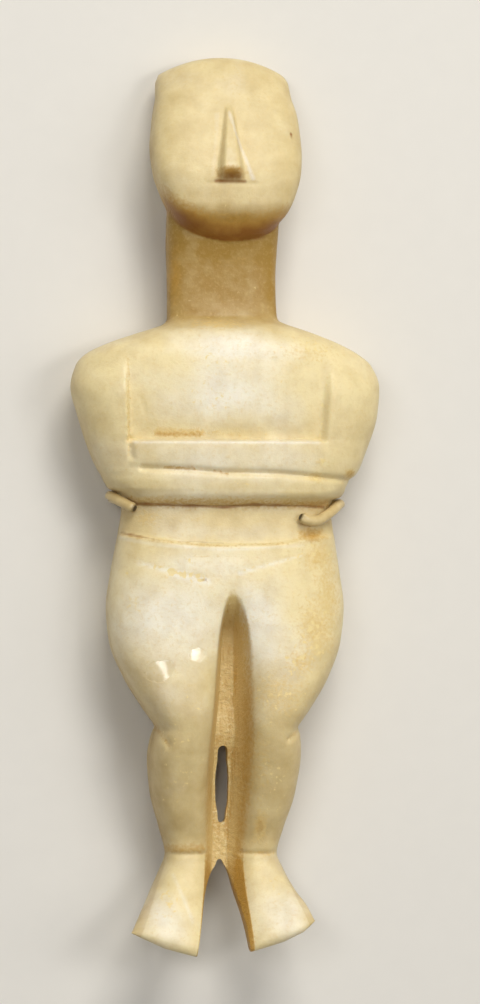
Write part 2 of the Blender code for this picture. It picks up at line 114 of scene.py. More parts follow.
# Profile seen from the side: level, height of the front or the back on the middle line
BODY_FRONT = (
    (0, 31.2), (2, 32.2), (12, 26.4), (20, 21.2), (24, 19.3), (28, 19.6), (36, 23), (46, 26.6), (56, 29.6),
    (64, 30.8), (83, 29.4), (98, 28.2), (BELLY_LINE, 27), (114, 26.2), (124, 27.4), (148, 28.6),
    (SHOULDER_TOP, 27.8), (160.8, 25.4), (163.2, 22.2), (NECK_BASE, 19.1), (170, 18), (178, 18.6),
    (187, 20.6), (CROWN, 9),
)
FACE_FRONT = (
    (CHIN, 19.4), (186.2, 22), (189, 24.5), (191.5, 26.2), (194.5, 27), (200, 27.3), (210.2, 24.4),
    (220.6, 20), (229.8, 15.2), (233, 12.4), (CROWN, 9.6),
)
BACK = (
    (0, 26.6), (6, 20), (15, 7.6), (19, 4.2), (25, 4.8), (32, 2.6), (40, -0.5), (47, -0.9), (53, 0.9),
    (61, 5.6), (70, 2.6), (79, -0.5), (91, -1.1), (100, 0.2), (108, 4), (115, 5.6), (122, 4.2), (132, 0.3),
    (144, -1), (155, -0.2), (NECK_BASE, 3.4), (176, 4.4), (187, 3.8), (198, 1.6), (212, 0.8), (227, 1.3),
    (CROWN, 2.4),
)
# Height at which the sides turn from front to back
EDGE = (
    (0, 29), (8, 22.5), (18, 12.8), (25, 12), (43, 13), (58, 17), (73, 15), (90, 14), (114, 15), (148, 14),
    (NECK_BASE, 12.6), (183, 12.4), (190, 15.2), (195.5, 17.6), (202, 17), (213, 12.8), (227, 8.2),
    (CROWN, 6),
)

# Cleft between the legs: middle and half width at its lips, height of its floor at the front and the back
CLEFT_MIDDLE = ((0, -2.2), (22, -0.9), (43, -0.4), (78, 0.6), (91, 0.4), (CLEFT_TOP, 0.1))
CLEFT_LIPS = ((0, 7.4), (24, 5), (43, 5.8), (52, 5.8), (64, 5.2), (78, 4.5), (91, 2.4), (CLEFT_TOP, 0.9))
CLEFT_FRONT = ((0, 29), (16, 14), (24, 12.4), (43, 14), (64, 16.4), (80, 17.6), (90, 21))
CLEFT_BACK = ((0, 27), (16, 12), (24, 10.2), (43, 11.8), (64, 11.4), (76, 6.5), (88, -1))
CLEFT_FLOOR_SHIFT, CLEFT_FLOOR_SHARE = -0.12, 0.38
CLEFT_FRONT_FULL = 83
CLEFT_BACK_RANGE = (68, 88)
LEG_BLEND_RANGE = (64, 102)
LEG_TURN_AT_LIP = -0.78

# Fullness of the sections: 2 is an ellipse, and more is squarer
FRONT_FULLNESS, BACK_FULLNESS, FACE_FULLNESS = 2.6, 2.9, 3.2

# Openings through the cleft's floor: x and level
CALF_HOLE = (
    (-0.9, 53.2), (-2.3, 48.5), (-2.7, 41.5), (-2.1, 36), (-0.9, 32.8), (0.3, 36), (0.8, 41.5), (0.5, 48.5),
)
FOOT_NOTCH = (
    (-1.4, 23.2), (-2.7, 21.3), (-4.3, 19), (-6.2, 15), (-7.5, 10), (-9.6, 0), (-11.4, -20), (6.5, -20),
    (4.5, 0), (3.5, 9), (2.1, 15.2), (1.1, 19), (-0.1, 21.7),
)

# Toe edges slant: x of each toe edge's ends and middle, and how far those lie above the toe level
TOE_ENDS = (-26.4, -18, -10, 4.8, 13, 18.2, 21.4)
TOE_RISES = (6.2, 2.3, 0, 1, 3.5, 5.9, 8.6)
CROWN_SAG, CROWN_SAG_START = 4.5, 219

# Carving. Each step gives how far from its line the surface starts to rise and has risen
ARM_RELIEF = 2.0
ARM_BOTTOM_RISES, ELBOW_REACH = (3.8, 2), (22, 32)
WAIST_RELIEF, BELLY_STEP, UNDERARM_STEP = -1.3, (-0.3, 0.9), (-0.6, 3)
BELLY_LINE_RISE, BELLY_REACH = 2.4, (8, 26)
LEFT_ARM_LINE, RIGHT_ARM_LINE = (-26.5, -27.3), (23.2, 24.9)
NOSE_TIP_STEP, NOSE_TOP_STEP = (-0.3, 4), (-1, 0)
# At the nose's tip and at its top
NOSE_RELIEFS, NOSE_HALF_WIDTHS, NOSE_MIDDLES = (4.4, 0.6), (4.1, 0.9), (-0.3, 0.1)
LEFT_KNEE_LINE, RIGHT_KNEE_LINE = ((-19.4, 58.8), (-16.5, 54.4)), ((19.2, 59), (14.4, 55.7))
LEFT_ANKLE_LINE, RIGHT_ANKLE_LINE = ((-15.8, ANKLE), (-6.2, ANKLE)), ((3.9, ANKLE), (13, ANKLE))
BETWEEN_FOREARMS = tuple(
    (x, FOREARM_LINE + rise) for x, rise in ((-23.3, 1.1), (-10, 0.6), (-3.2, 0), (12.2, -0.3), (30.8, -1.8))
)
CREASE_WIDTH = 0.75
# Carved lines: depth and points
CREASES = (
    (0.9, ((-26.6, FOREARM_TOP), (-26, FOREARM_TOP - 4.5))), (0.9, BETWEEN_FOREARMS),
    (0.16, ((-23.5, 101), (-5.7, 96.7))), (0.12, ((1.6, 98.8), (18, 103.2))), (0.9, LEFT_KNEE_LINE),
    (0.9, RIGHT_KNEE_LINE), (0.7, LEFT_ANKLE_LINE), (0.7, RIGHT_ANKLE_LINE),
)
NECK_CREASE_DEPTH, NECK_CREASE_WIDTH = 0.5, 1.8
NECK_CREASE = ((-13, 166), (-4, 164.9), (10, 165.6))

# Finer carving that only the surface here shows
LEFT_ARM_STEP, RIGHT_ARM_STEP = (-0.3, 0.8), (-0.6, 2.2)
UPPER_ARM_FADE, FOREARM_EDGE = (-12, 0), (-0.8, 0.3)
FOREARM_SLOPE = -0.05
FOREARM_BULGE = 0.35
UNDERARM_ROUNDING = 3.4
CHEST_HOLLOW, CHEST_HOLLOW_REACH, CHEST_HOLLOW_SIDES, CHEST_HOLLOW_FOOT = 0.7, 3.6, 7, (-0.2, 0.3)
BELLY_SCRATCH = ((-10.5, 103), (7, 102.6))
# Depth, width and points of faint lines, and of raised rims
FINE_CREASES = (
    (0.1, 0.45, BELLY_SCRATCH),
    (0.25, 0.4, ((-24.2, 144.6), (-22.6, 140.2))),
    (0.15, 0.6, ((-6.6, 199.3), (6.2, 199.2))),
)
LEFT_NOSE_RIM = ((-3, 217.6), (-5.1, 201.5))
RIGHT_NOSE_RIM = ((0, 217.9), (1.8, 210.8), (3.7, 205.6), (5.4, 200.6))
NOSE_RIMS = ((-0.06, 0.8, LEFT_NOSE_RIM), (-0.1, 0.5, RIGHT_NOSE_RIM))
NOSE_FACE_SHARES = (0.55, 0.45)
FINE_CHIN_SOFTNESS = 1.4
TEMPLE_PIT = ((15.4, 212.1), 0.45, 0.5)
# Depth and size of the unevenness, and the layer of noise that each place takes
WEAR = ((0.16, 13), (0.06, 3.2))
CARVED_EDGE_WEAR = (0.12, 2.1)
CARVED_EDGE_WIDTH, FOREARM_EDGE_WIDTH = 1.6, 1.4
CLEFT_ROUGHNESS = (0.25, 1.4)
FRONT_LAYER, BACK_LAYER, CARVED_LAYER, CLEFT_LAYER = 3, 5, 7, 11
# Carving and wear fade at the sides: 2 would be an ellipse, and more fades later
SIDE_FADE = 6
SIDE_HALF_THICKNESS = 0.02
END_ROUNDING = 0.8
END_RINGS = 5

# Fineness of the surface
STATIONS, COLUMNS = 400, 171
CLEFT_COLUMNS = 0.2
FINE_LEVELS = (ANKLE, BELLY_LINE, ARM_BOTTOM, FOREARM_LINE, FOREARM_TOP, 161, 187, NOSE_BOTTOM, 232)
FINE_REACH = 3.5
BACK_TRIANGLES = 44000
WELD_DISTANCE = 1e-4
CUTTER_REACH = 45
SHARP_EDGE = math.radians(55)

# Route of the wire round the waist: angle from the side towards the front, level
BACK_OF_WAIST = (-90, 115)
LEFT_HOOK = ((-55, 115.4), (-30, 117), (-10, 118.5), (2, 118.3), (9, 117.2), (14, 115.9), (17, 115.2))
RIGHT_HOOK = (
    (-55, 115.4), (-30, 116), (-12, 116.3), (-2, 116.3), (6, 115.7), (12, 114.4), (17, 113), (21, 112.1),
    (24, 112), (27, 112.5), (29.5, 113.2),
)
WAIST_MIDDLE_HEIGHT = 15.0
WIRE_STEP, WIRE_CLEARANCE = 0.0001, 0.0004
SLEEVE_RINGS, SLEEVE_SIDES = 190, 40
SLEEVE_END = (-0.12, 0.8)
SLIT_START, SLIT_FULL = 0.006, 0.01
SLIT_TURN, SLIT_WIDTH = math.radians(-40), math.radians(14)
OPEN_END = 0.0004

# Camera of the photograph: lean from the vertical, distance, scale and the point that it looks at
CAMERA_LEAN = math.radians(8)
CAMERA_DISTANCE = 0.9
METRES_PER_PIXEL = 0.00026257
FRAME_HEIGHT = 1004
CAMERA_AIM = (0.00407, -0.00006, 0.013)

# Soil and staining on the front, with painted shade and painted highlights among them. Lines: strength, width
# and points. Patches: strength, x, level, and their reach across and along
EARTH_LINES = (
    (0.6, 0.8, ((-19.5, 134.4), (-8.5, 134.3))), (0.15, 0.6, ((-8.5, 134.2), (12, 134))),
    (0.65, 0.55, ((-17.6, 125.9), (-10, 125.5))), (0.6, 0.55, ((-5, 125), (-1.5, 124.2))),
    (0.55, 1.5, ((-26, 116.6), (26, 116))),
    (0.4, 0.5, ((-28, 108.6), (-20, 106.9), (-2, 105.5), (19, 106.6))),
    (0.5, 0.3, ((-8.4, 97.4), (-6.8, 96.9))), (0.55, 1.6, ((-15.5, 26.6), (-7, 26.9))),
    (0.3, 0.5, ((-26.6, 150), (-26.9, 136))), (0.5, 0.8, LEFT_KNEE_LINE), (0.4, 0.8, RIGHT_KNEE_LINE),
)
OCHRE_LINES = (
    (0.4, 0.4, BELLY_SCRATCH), (0.5, 0.6, ((-26.9, 154), (-26.8, 129))),
    (0.6, 1.4, ((-26, 117.4), (26, 116.8))), (0.7, 1.1, ((-19.5, 135.2), (-8, 134.9))),
    (0.35, 0.9, ((-8, 134.9), (2, 134.7))), (0.5, 0.9, ((-15.5, 26.2), (-5.2, 26.4))),
    (0.5, 0.8, ((3.9, 25.4), (13, 25.2))),
)
OCHRE_PATCHES = (
    (0.7, 23, 102.6, 5, 4.4), (0.7, 21.6, 84, 5.6, 8.5), (0.6, 17.4, 75.6, 4.6, 4.6),
    # The patch under the right hook is stain and the wire's painted shadow both
    (0.6, 25.5, 92, 4.4, 13), (0.45, 13, 67, 8, 7.5), (0.9, 21.6, 108.4, 4.4, 2.4),
    (0.5, -21.6, 113, 4.4, 2.2), (0.95, 31.2, 124.2, 1.7, 1.5), (0.75, 21.8, 123.3, 2.4, 1.5),
    (0.45, 23, 127.6, 2.2, 1.3), (0.55, -3, 163.2, 9, 1.5), (0.4, 20, 156, 9, 3.5),
    (0.9, 8.2, 32.5, 1.9, 4.3), (0.5, 6, 50, 5, 12),
)
YELLOW_LINES = (
    (1.3, 1, ((-16, 98.9), (-6.4, 96.7))), (0.9, 0.8, ((-24, 101.6), (-16.5, 99.4))),
    (0.7, 0.45, ((1.8, 98.9), (18.5, 103.4))), (0.7, 0.6, ((0.5, 122.4), (5.5, 121.2))),
    (0.6, 0.5, ((11.5, 123.2), (13.5, 123.6))), (0.5, 0.6, ((-27, 153), (-26.8, 130))),
    (0.5, 0.7, ((23.2, 133.5), (24.6, 150))),
)
YELLOW_PATCHES = (
    (0.75, 21.6, 84, 6, 9), (0.6, 23, 102, 4.5, 5), (0.7, 17.4, 75.6, 5, 5), (0.95, -26.8, 98.6, 0.8, 0.6),
    (0.8, -21.2, 95.4, 0.9, 0.7), (0.6, -25, 90.5, 2.4, 3), (0.8, -10.9, 101.9, 0.9, 0.9),
    (0.8, -12.5, 67.3, 1.4, 1), (0.9, -8.6, 63.2, 1, 0.8), (0.6, -4, 153.8, 4.5, 2.4), (0.5, 12, 149, 5, 3),
    (0.5, -6, 144, 8, 4), (0.5, 20, 157, 9, 3.5), (0.7, 21.8, 123.3, 2.4, 1.5), (0.6, 23, 127.6, 2.2, 1.3),
    (0.6, -16, 14, 4.2, 4.6), (0.4, 11, 17, 3.4, 4), (0.5, 11, 66, 8, 6), (0.4, 12, 45, 5, 12),
    (0.4, -14, 50, 5, 14),
)
EARTH_AND_SHADE_PATCHES = (
    # The patch under the nose's tip is soil and painted shadow both, and so is the one under the right hook
    (1, -0.6, 202, 3.8, 1.7), (0.75, 21.4, 108.3, 3.8, 1.9), (0.6, 31.6, 124.4, 1.6, 1.3),
    (0.5, 8.2, 32.5, 1.4, 3.4), (0.6, -13.6, 176, 2, 9), (0.3, 2, 180, 11, 2), (0.35, -26, 117.5, 3, 1.5),
)
BROWN_LINES = (
    (0.75, 0.5, ((-27.4, 117.9), (-24, 116.5), (-10, 116), (-2, 115.6), (6, 116.3), (25, 115.6))),
    (0.7, 0.35, ((-27.8, 108.9), (-20, 107.3))), (0.45, 0.3, ((-20, 107.2), (-2, 106.3))),
    # The lines where the chin meets the neck and under the nose's tip are crust and painted shade both
    (0.35, 0.3, ((12, 106.3), (19, 107))), (0.6, 0.7, ((-10.5, 187.2), (-4, 185.6), (1, 185), (9.5, 186))),
    (0.75, 0.6, ((-4.2, 199.9), (3.4, 199.8))), (0.5, 0.4, ((-8.5, 97.2), (-7, 96.8))),
    (0.35, 0.4, LEFT_ANKLE_LINE), (0.35, 0.4, RIGHT_ANKLE_LINE),
)
BROWN_PATCHES = (
    # The patch under the nose's tip is crust and painted shadow both
    (0.75, -0.6, 201, 3.6, 1.4), (2, 16.3, 212.6, 0.38, 0.3), (2, 16.3, 211.6, 0.38, 0.3),
    # The patch under the right hook is stain and the wire's painted shadow both
    (0.3, 20.5, 108.4, 3.2, 1.2), (0.3, 32.4, 124.4, 1.1, 0.8), (0.35, 8.2, 32.5, 1.2, 3),
)
# Whiter lines: a pale streak on the left foot, and painted highlights where edges catch the light, along the
# forearms' upper edge and the lower lips of the belly and groin lines. The pale lines along the nose are worn
# edges and painted highlight both
CLEAN_AND_LIT_LINES = (
    (0.3, 0.9, LEFT_NOSE_RIM), (0.8, 0.6, RIGHT_NOSE_RIM), (0.5, 0.5, ((-25.5, 132.4), (22.5, 132.4))),
    (0.35, 0.5, ((-28, 107.6), (-20, 105.9), (-2, 104.6), (19, 105.6))),
    (0.35, 0.45, ((-14.5, 20), (-10.4, 9))), (0.7, 0.7, ((-16, 98.6), (-6.4, 96.4))),
    (0.45, 0.5, ((-24, 101.3), (-16.5, 99.1))), (0.5, 0.4, ((1.8, 98.6), (18.5, 103.1))),
)
CLEAN_PATCHES = (
    (0.45, -0.8, 206, 1.8, 5), (0.9, 0, 157, 18, 5), (1, -2, 146, 17, 9), (0.8, 0, 127, 26, 7),
    (0.6, -2, 118, 24, 4), (0.65, 0, 109, 20, 3), (0.7, -6, 101, 22, 5), (1, -15, 86, 14, 15),
    (0.9, 8, 86, 9, 14), (0.5, -16, 66, 8, 7), (0.95, -18, 9, 7, 8), (1, 14, 9, 7, 8),
)
POLISHED_PATCHES = (
    (1.2, -18.6, 73.6, 4.8, 3.2), (1.1, -9.4, 77.6, 3.4, 2.4), (0.5, -14.5, 66, 4, 3), (0.4, 6, 80, 6, 9),
)
MASKS = ("warmth_and_shade", "clean_and_lit", "web", "ochre", "yellow", "earth_and_shade", "brown", "polish")
# Soil and painted shade under the chin: its upper edge on the middle line, its climb to each side, and how it
# thickens below
CHIN_SOIL_AND_SHADE, CHIN_SOIL_AND_SHADE_RISES, CHIN_EARTH_AND_SHADE, CHIN_BROWN_AND_SHADE = 190.7, (0.025, 0.012), (-3.8, 4), (-0.6, 4.6)
# Levels between which the cleft's soil turns to a lighter kind, painted light where its deep upper end lies in
# shade, and below which the feet stand apart
UPPER_CLEFT_PAINTED_LIGHT, FEET_APART = (62, 88), (19, 27)
# How far the surface turns from white to beige, by level. On the face it is the skin that age gave the marble;
# on the neck and the calves it is that skin and painted shade; on the lower thighs, the waist under the
# forearms and the chest just above them it is painted shade
WARMTH_AND_SHADE = (
    (0, 0.05), (18, 0.08), (24, 0.25), (30, 0.42), (44, 0.42), (57, 0.34), (70, 0.26), (88, 0.03),
    (104, 0.06), (112, 0.3), (118, 0.2), (124, 0.1), (136, 0.14), (142, 0.04), (156, 0.04), (161, 0.15),
    (166, 0.88), (189, 1), (196, 0.3), (205, 0.25), (CROWN, 0.27),
)


def unit(value):
    """The value kept from 0 to 1."""
    return np.clip(value, 0, 1)


def curve_through(points, at):
    """Value at each place of the smooth curve through (place, value) points, flat where they turn."""
    place, value = np.array(points, float).T
    gap = np.diff(place)
    slope = np.diff(value) / gap
    near, far = 2 * gap[1:] + gap[:-1], gap[1:] + 2 * gap[:-1]
    turning = slope[:-1] * slope[1:] <= 0
    before, after = np.where(turning, 1, slope[:-1]), np.where(turning, 1, slope[1:])
    inner = np.where(turning, 0, (near + far) / (near / before + far / after))
    tangent = np.concatenate([slope[:1], inner, slope[-1:]])
    span = np.clip(np.searchsorted(place, at, side="right") - 1, 0, len(gap) - 1)
    s = unit((at - place[span]) / gap[span])
    rise = value[span + 1] - value[span]
    start, end = tangent[span] * gap[span], tangent[span + 1] * gap[span]
    return value[span] + s * start + s**2 * (3 * rise - 2 * start - end) + s**3 * (start + end - 2 * rise)


def ramp(value, start, end):
    """0 before start, 1 past end, with a smooth rise between them."""
    s = unit((value - start) / (end - start))
    return s * s * (3 - 2 * s)


def step(value, place, reach):
    """A ramp that starts and ends this far from the place."""
    return ramp(value, place + reach[0], place + reach[1])


def dome(across, fullness):
    """Height share of a rounded section at this share of its half width."""
    return (1 - unit(np.abs(across)) ** fullness) ** (1 / fullness)


def outline(points, level):
    """Left and right edge of one outline."""
    return [curve_through([(row[0], row[side]) for row in points], level) for side in (1, 2)]


def edges(level):
    """Left and right edge of the whole figure: the head's outline where it is wider than the neck."""
    left, right = outline(BODY_OUTLINE, level)
    head_left, head_right = outline(HEAD_OUTLINE, level)
    left = np.where(level > CHIN, np.minimum(left, head_left), left)
    right = np.where(level > CHIN, np.maximum(right, head_right), right)
    return np.where(level > JAW_TOP, head_left, left), np.where(level > JAW_TOP, head_right, right)


def share_across(x, left, right):
    """-1 at the left edge, 1 at the right edge."""
    return (2 * x - left - right) / (right - left)


def cleft_at(level):
    """Middle and half width of the cleft."""
    return curve_through(CLEFT_MIDDLE, level), curve_through(CLEFT_LIPS, level)


def across_front(column, level):
    """x of a column, where column runs from -1 at the left edge to 1 at the right edge."""
    left, right = edges(level)
    plain = (left + right) / 2 + (right - left) / 2 * np.sin(column * math.pi / 2)
    cleft, lips = cleft_at(level)
    inside = np.clip(column / CLEFT_COLUMNS, -1, 1) * lips
    out = unit((np.abs(column) - CLEFT_COLUMNS) / (1 - CLEFT_COLUMNS))
    spread = (out + np.sin(out * math.pi / 2)) / 2
    edge = np.where(column < 0, left, right)
    legs = cleft + inside + spread * (edge - cleft - np.sign(column) * lips)
    return plain + (legs - plain) * (1 - ramp(level, CLEFT_TOP + 2, CLEFT_TOP + 26))


def section_share(x, level, fullness):
    """Height share of the body's section, parted into two rounded legs towards the knees."""
    left, right = edges(level)
    whole = dome(share_across(x, left, right), fullness)
    cleft, lips = cleft_at(level)
    side = np.where(x < cleft, -1, 1)
    lip = cleft + side * lips
    from_lip = unit((x - lip) / (np.where(side < 0, left, right) - lip))
    leg = dome(LEG_TURN_AT_LIP + (1 - LEG_TURN_AT_LIP) * from_lip, fullness)
    return whole + (leg - whole) * (1 - ramp(level, *LEG_BLEND_RANGE))


def cleft_share(x, level, full, top):
    """0 outside the cleft's lips and 1 on its floor, fading out between the levels full and top."""
    cleft, lips = cleft_at(level)
    floor = cleft + CLEFT_FLOOR_SHIFT * lips
    half_floor = CLEFT_FLOOR_SHARE * lips
    from_left = (x - cleft + lips) / (floor - half_floor - cleft + lips)
    from_right = (cleft + lips - x) / (cleft + lips - floor - half_floor)
    return unit(np.minimum(from_left, from_right)) * (1 - ramp(level, full, top))


def crease(x, level, points, depth, width):
    """A carved line along the points."""
    nearest = np.full(np.shape(x), CROWN)
    for (ax, ay), (bx, by) in zip(points, points[1:]):
        along = unit(((x - ax) * (bx - ax) + (level - ay) * (by - ay)) / ((bx - ax) ** 2 + (by - ay) ** 2))
        nearest = np.minimum(nearest, np.hypot(x - ax - along * (bx - ax), level - ay - along * (by - ay)))
    return -depth * np.exp(-((nearest / width) ** 2))


def arm_bottom(x):
    return ARM_BOTTOM + np.where(x < 0, *ARM_BOTTOM_RISES) * ramp(np.abs(x), *ELBOW_REACH)


def waist_relief(x, level):
    """The band between the forearms and the belly line is cut back."""
    belly = BELLY_LINE + BELLY_LINE_RISE * ramp(np.abs(x), *BELLY_REACH)
    return WAIST_RELIEF * step(level, belly, BELLY_STEP) * (1 - step(level, arm_bottom(x), UNDERARM_STEP))


def nose_relief(x, level):
    """A long wedge that widens and rises towards its tip."""
    up = unit((level - NOSE_BOTTOM) / (NOSE_TOP - NOSE_BOTTOM))
    half = np.interp(up, (0, 1), NOSE_HALF_WIDTHS)
    middle = np.interp(up, (0, 1), NOSE_MIDDLES)
    ridge = 1 - ramp(np.abs(x - middle) / half, np.where(x < middle, *NOSE_FACE_SHARES), 1.0)
    length = step(level, NOSE_BOTTOM, NOSE_TIP_STEP) * (1 - step(level, NOSE_TOP, NOSE_TOP_STEP))
    return np.interp(up, (0, 1), NOSE_RELIEFS) * ridge * length


def band(level, bottom, top):
    """0 at the edges of a band and 1 on its middle line, rounded between."""
    across = (2 * level - bottom - top) / (top - bottom)
    return unit(1 - across**2)


def rounded_step(value, start, reach):
    """0 before start, then a quarter circle up to 1."""
    s = unit((value - start) / reach)
    return np.sqrt(1 - (1 - s) ** 2)


def within_sides(x, level):
    """1 on most of the width, falling to 0 at the sides."""
    return dome(share_across(x, *edges(level)), SIDE_FADE)


def fine_arm_relief(x, level):
    """The arms with rounded undersides and a crisper upper edge, each forearm a little full."""
    inner_left = np.interp(level, (FOREARM_TOP, SHOULDER_TOP), LEFT_ARM_LINE)
    inner_right = np.interp(level, (FOREARM_TOP, SHOULDER_TOP), RIGHT_ARM_LINE)
    beside = ramp(inner_left - x, *LEFT_ARM_STEP) + ramp(x - inner_right, *RIGHT_ARM_STEP)
    upper = beside * (1 - step(level, SHOULDER_TOP, UPPER_ARM_FADE))
    forearm = 1 - step(level, FOREARM_TOP, FOREARM_EDGE)
    under = rounded_step(level, arm_bottom(x) - 0.3, UNDERARM_ROUNDING)
    line = FOREARM_LINE + FOREARM_SLOPE * x
    full = band(level, arm_bottom(x), line) + band(level, line, FOREARM_TOP) * (x > inner_left)
    return (ARM_RELIEF * np.maximum(upper, forearm) + FOREARM_BULGE * full) * under


def chest_hollow(x, level):
    """The chest sinks a little before it meets the forearms."""
    left, right = LEFT_ARM_LINE[0], RIGHT_ARM_LINE[0]
    inside = ramp(x, left, left + CHEST_HOLLOW_SIDES) * (1 - ramp(x, right - CHEST_HOLLOW_SIDES, right))
    above = np.exp(-(np.clip(level - FOREARM_TOP, 0, None) / CHEST_HOLLOW_REACH) ** 2)
    return -CHEST_HOLLOW * inside * above * step(level, FOREARM_TOP, CHEST_HOLLOW_FOOT)


def noise_field(x, level, size, layer):
    """Smooth noise between -1 and 1, whose forms are about this size."""
    spots = np.stack([x / size, level / size, np.full(np.shape(x), layer)], -1).reshape(-1, 3)
    return np.array([noise.noise(Vector(spot)) for spot in spots.tolist()]).reshape(np.shape(x))


def fine_front_height(x, level):
    edge = curve_through(EDGE, level)
    inner = within_sides(x, level)
    body = edge + (curve_through(BODY_FRONT, level) - edge) * section_share(x, level, FRONT_FULLNESS)
    across = share_across(x, *outline(HEAD_OUTLINE, level))
    face = edge + (curve_through(FACE_FRONT, level) - edge) * dome(across, FACE_FULLNESS)
    soft = FINE_CHIN_SOFTNESS * inner
    height = np.where(level > CHIN, (body + face + np.hypot(body - face, soft)) / 2, body)
    height = np.where(level > JAW_TOP, face, height)
    relief = fine_arm_relief(x, level) + waist_relief(x, level)
    relief = relief + nose_relief(x, level) + chest_hollow(x, level)
    for depth, points in CREASES:
        relief = relief + crease(x, level, points, depth, CREASE_WIDTH)
    for depth, width, points in FINE_CREASES + NOSE_RIMS:
        relief = relief + crease(x, level, points, depth, width)
    pit, depth, width = TEMPLE_PIT
    relief = relief - depth * np.exp(-((np.hypot(x - pit[0], level - pit[1]) / width) ** 2))
    relief = relief + crease(x, level, NECK_CREASE, NECK_CREASE_DEPTH, NECK_CREASE_WIDTH)
    carved = sum(crease(x, level, points, -1, CARVED_EDGE_WIDTH) for depth, points in CREASES)
    carved = unit(carved + np.exp(-(((level - FOREARM_TOP) / FOREARM_EDGE_WIDTH) ** 2)))
    depth, size = CARVED_EDGE_WEAR
    relief = relief - depth * carved * np.abs(noise_field(x, level, size, CARVED_LAYER))
    height = height + (relief + worn(x, level, FRONT_LAYER)) * inner
    depth, size = CLEFT_ROUGHNESS
    floor = np.minimum(curve_through(CLEFT_FRONT, level), height)
    floor = floor + depth * noise_field(x, level, size, CLEFT_LAYER)
    return height + (floor - height) * cleft_share(x, level, CLEFT_FRONT_FULL, CLEFT_TOP)


def fine_back_height(x, level):
    edge = curve_through(EDGE, level)
    height = edge + (curve_through(BACK, level) - edge) * section_share(x, level, BACK_FULLNESS)
    height = height + np.clip(worn(x, level, BACK_LAYER), 0, None) * within_sides(x, level)
    floor = np.maximum(curve_through(CLEFT_BACK, level), height)
    return height + (floor - height) * cleft_share(x, level, *CLEFT_BACK_RANGE)


def worn(x, level, layer):
    """Unevenness that hand rubbing and burial leave."""
    return sum(depth * noise_field(x, level, size, layer + size) for depth, size in WEAR)


def lifted_level(x, level):
    """Level of a point once the toe edges slant and the crown is arched."""
    toe = np.interp(x, TOE_ENDS, TOE_RISES) * unit(1 - level / ANKLE)
    side = share_across(x, *edges(np.full(np.shape(x), CROWN)))
    return level + toe - CROWN_SAG * side**2 * ramp(level, CROWN_SAG_START, CROWN)


def station_levels(bottom, top, count):
    """Levels of the stations, closer together where the carving is fine."""
    level = np.linspace(bottom, top, 20 * count)
    closeness = 1 + sum(2 * np.exp(-(((level - fine) / FINE_REACH) ** 2)) for fine in FINE_LEVELS)
    place = np.concatenate([[0], np.cumsum((closeness[1:] + closeness[:-1]) / 2)])
    return np.interp(np.linspace(0, place[-1], count), place, level)


def distances_along(points):
    """How far along the points' line each of them is."""
    return np.concatenate([[0], np.cumsum(np.linalg.norm(np.diff(points, axis=0), axis=1))])


def evenly_spaced(points, count):
    """Points at even distances along the smooth curve through the points."""
    place = distances_along(points)
    at = np.linspace(0, place[-1], count)
    return np.stack([curve_through(np.stack([place, along], 1), at) for along in points.T], 1)


def surface_grids():
    """Points of the front and of the back, in modules, as grids of stations by columns."""
    ends = END_ROUNDING * (1 - np.cos(np.linspace(0, math.pi / 2, END_RINGS + 1)[:-1]))
    levels = station_levels(END_ROUNDING, CROWN - END_ROUNDING, STATIONS - 2 * END_RINGS)
    levels = np.concatenate([ends, levels, CROWN - ends[::-1]])
    column, level = np.meshgrid(np.linspace(-1, 1, COLUMNS), levels)
    x = across_front(column, level)
    up = lifted_level(x, level)
    from_end = np.minimum(level, CROWN - level)
    rounding = END_ROUNDING * (1 - rounded_step(from_end, 0, END_ROUNDING))
    edge = curve_through(EDGE, level)
    front, back = fine_front_height(x, level), fine_back_height(x, level)
    front = np.maximum(front - rounding, edge + SIDE_HALF_THICKNESS)
    back = np.maximum(np.minimum(back + rounding, edge - SIDE_HALF_THICKNESS), 0)
    front[:, [0, -1]] = back[:, [0, -1]] = edge[:, [0, -1]]
    return np.stack([x, up, front], -1), np.stack([x, up, back], -1)


def grid_faces(front_numbers, back_numbers):
    """Faces of both grids and of the closed ends, from the numbers of their points."""
    faces = []
    for numbers, outward in ((front_numbers, True), (back_numbers, False)):
        low, high = numbers[:-1], numbers[1:]
        corners = np.stack([low[:, :-1], low[:, 1:], high[:, 1:], high[:, :-1]], -1).reshape(-1, 4)
        faces += (corners if outward else corners[:, ::-1]).tolist()
    for row, outward in ((0, False), (-1, True)):
        top, bottom = front_numbers[row], back_numbers[row]
        for i in range(COLUMNS - 1):
            corners = list(dict.fromkeys((int(top[i]), int(top[i + 1]), int(bottom[i + 1]), int(bottom[i]))))
            faces.append(corners if outward else corners[::-1])
    return faces


def stone_mesh(name, front, back):
    front_numbers = np.arange(STATIONS * COLUMNS).reshape(STATIONS, COLUMNS)
    back_numbers = front_numbers.copy()
    between_sides = np.arange(STATIONS * (COLUMNS - 2)).reshape(STATIONS, COLUMNS - 2)
    back_numbers[:, 1:-1] = STATIONS * COLUMNS + between_sides
    points = np.concatenate([front.reshape(-1, 3), back[:, 1:-1].reshape(-1, 3)])
    mesh = bpy.data.meshes.new(name)
    mesh.from_pydata(points.tolist(), [], grid_faces(front_numbers, back_numbers))
    return mesh


def new_object(name, data):
    made = bpy.data.objects.new(name, data)
    bpy.context.scene.collection.objects.link(made)
    return made


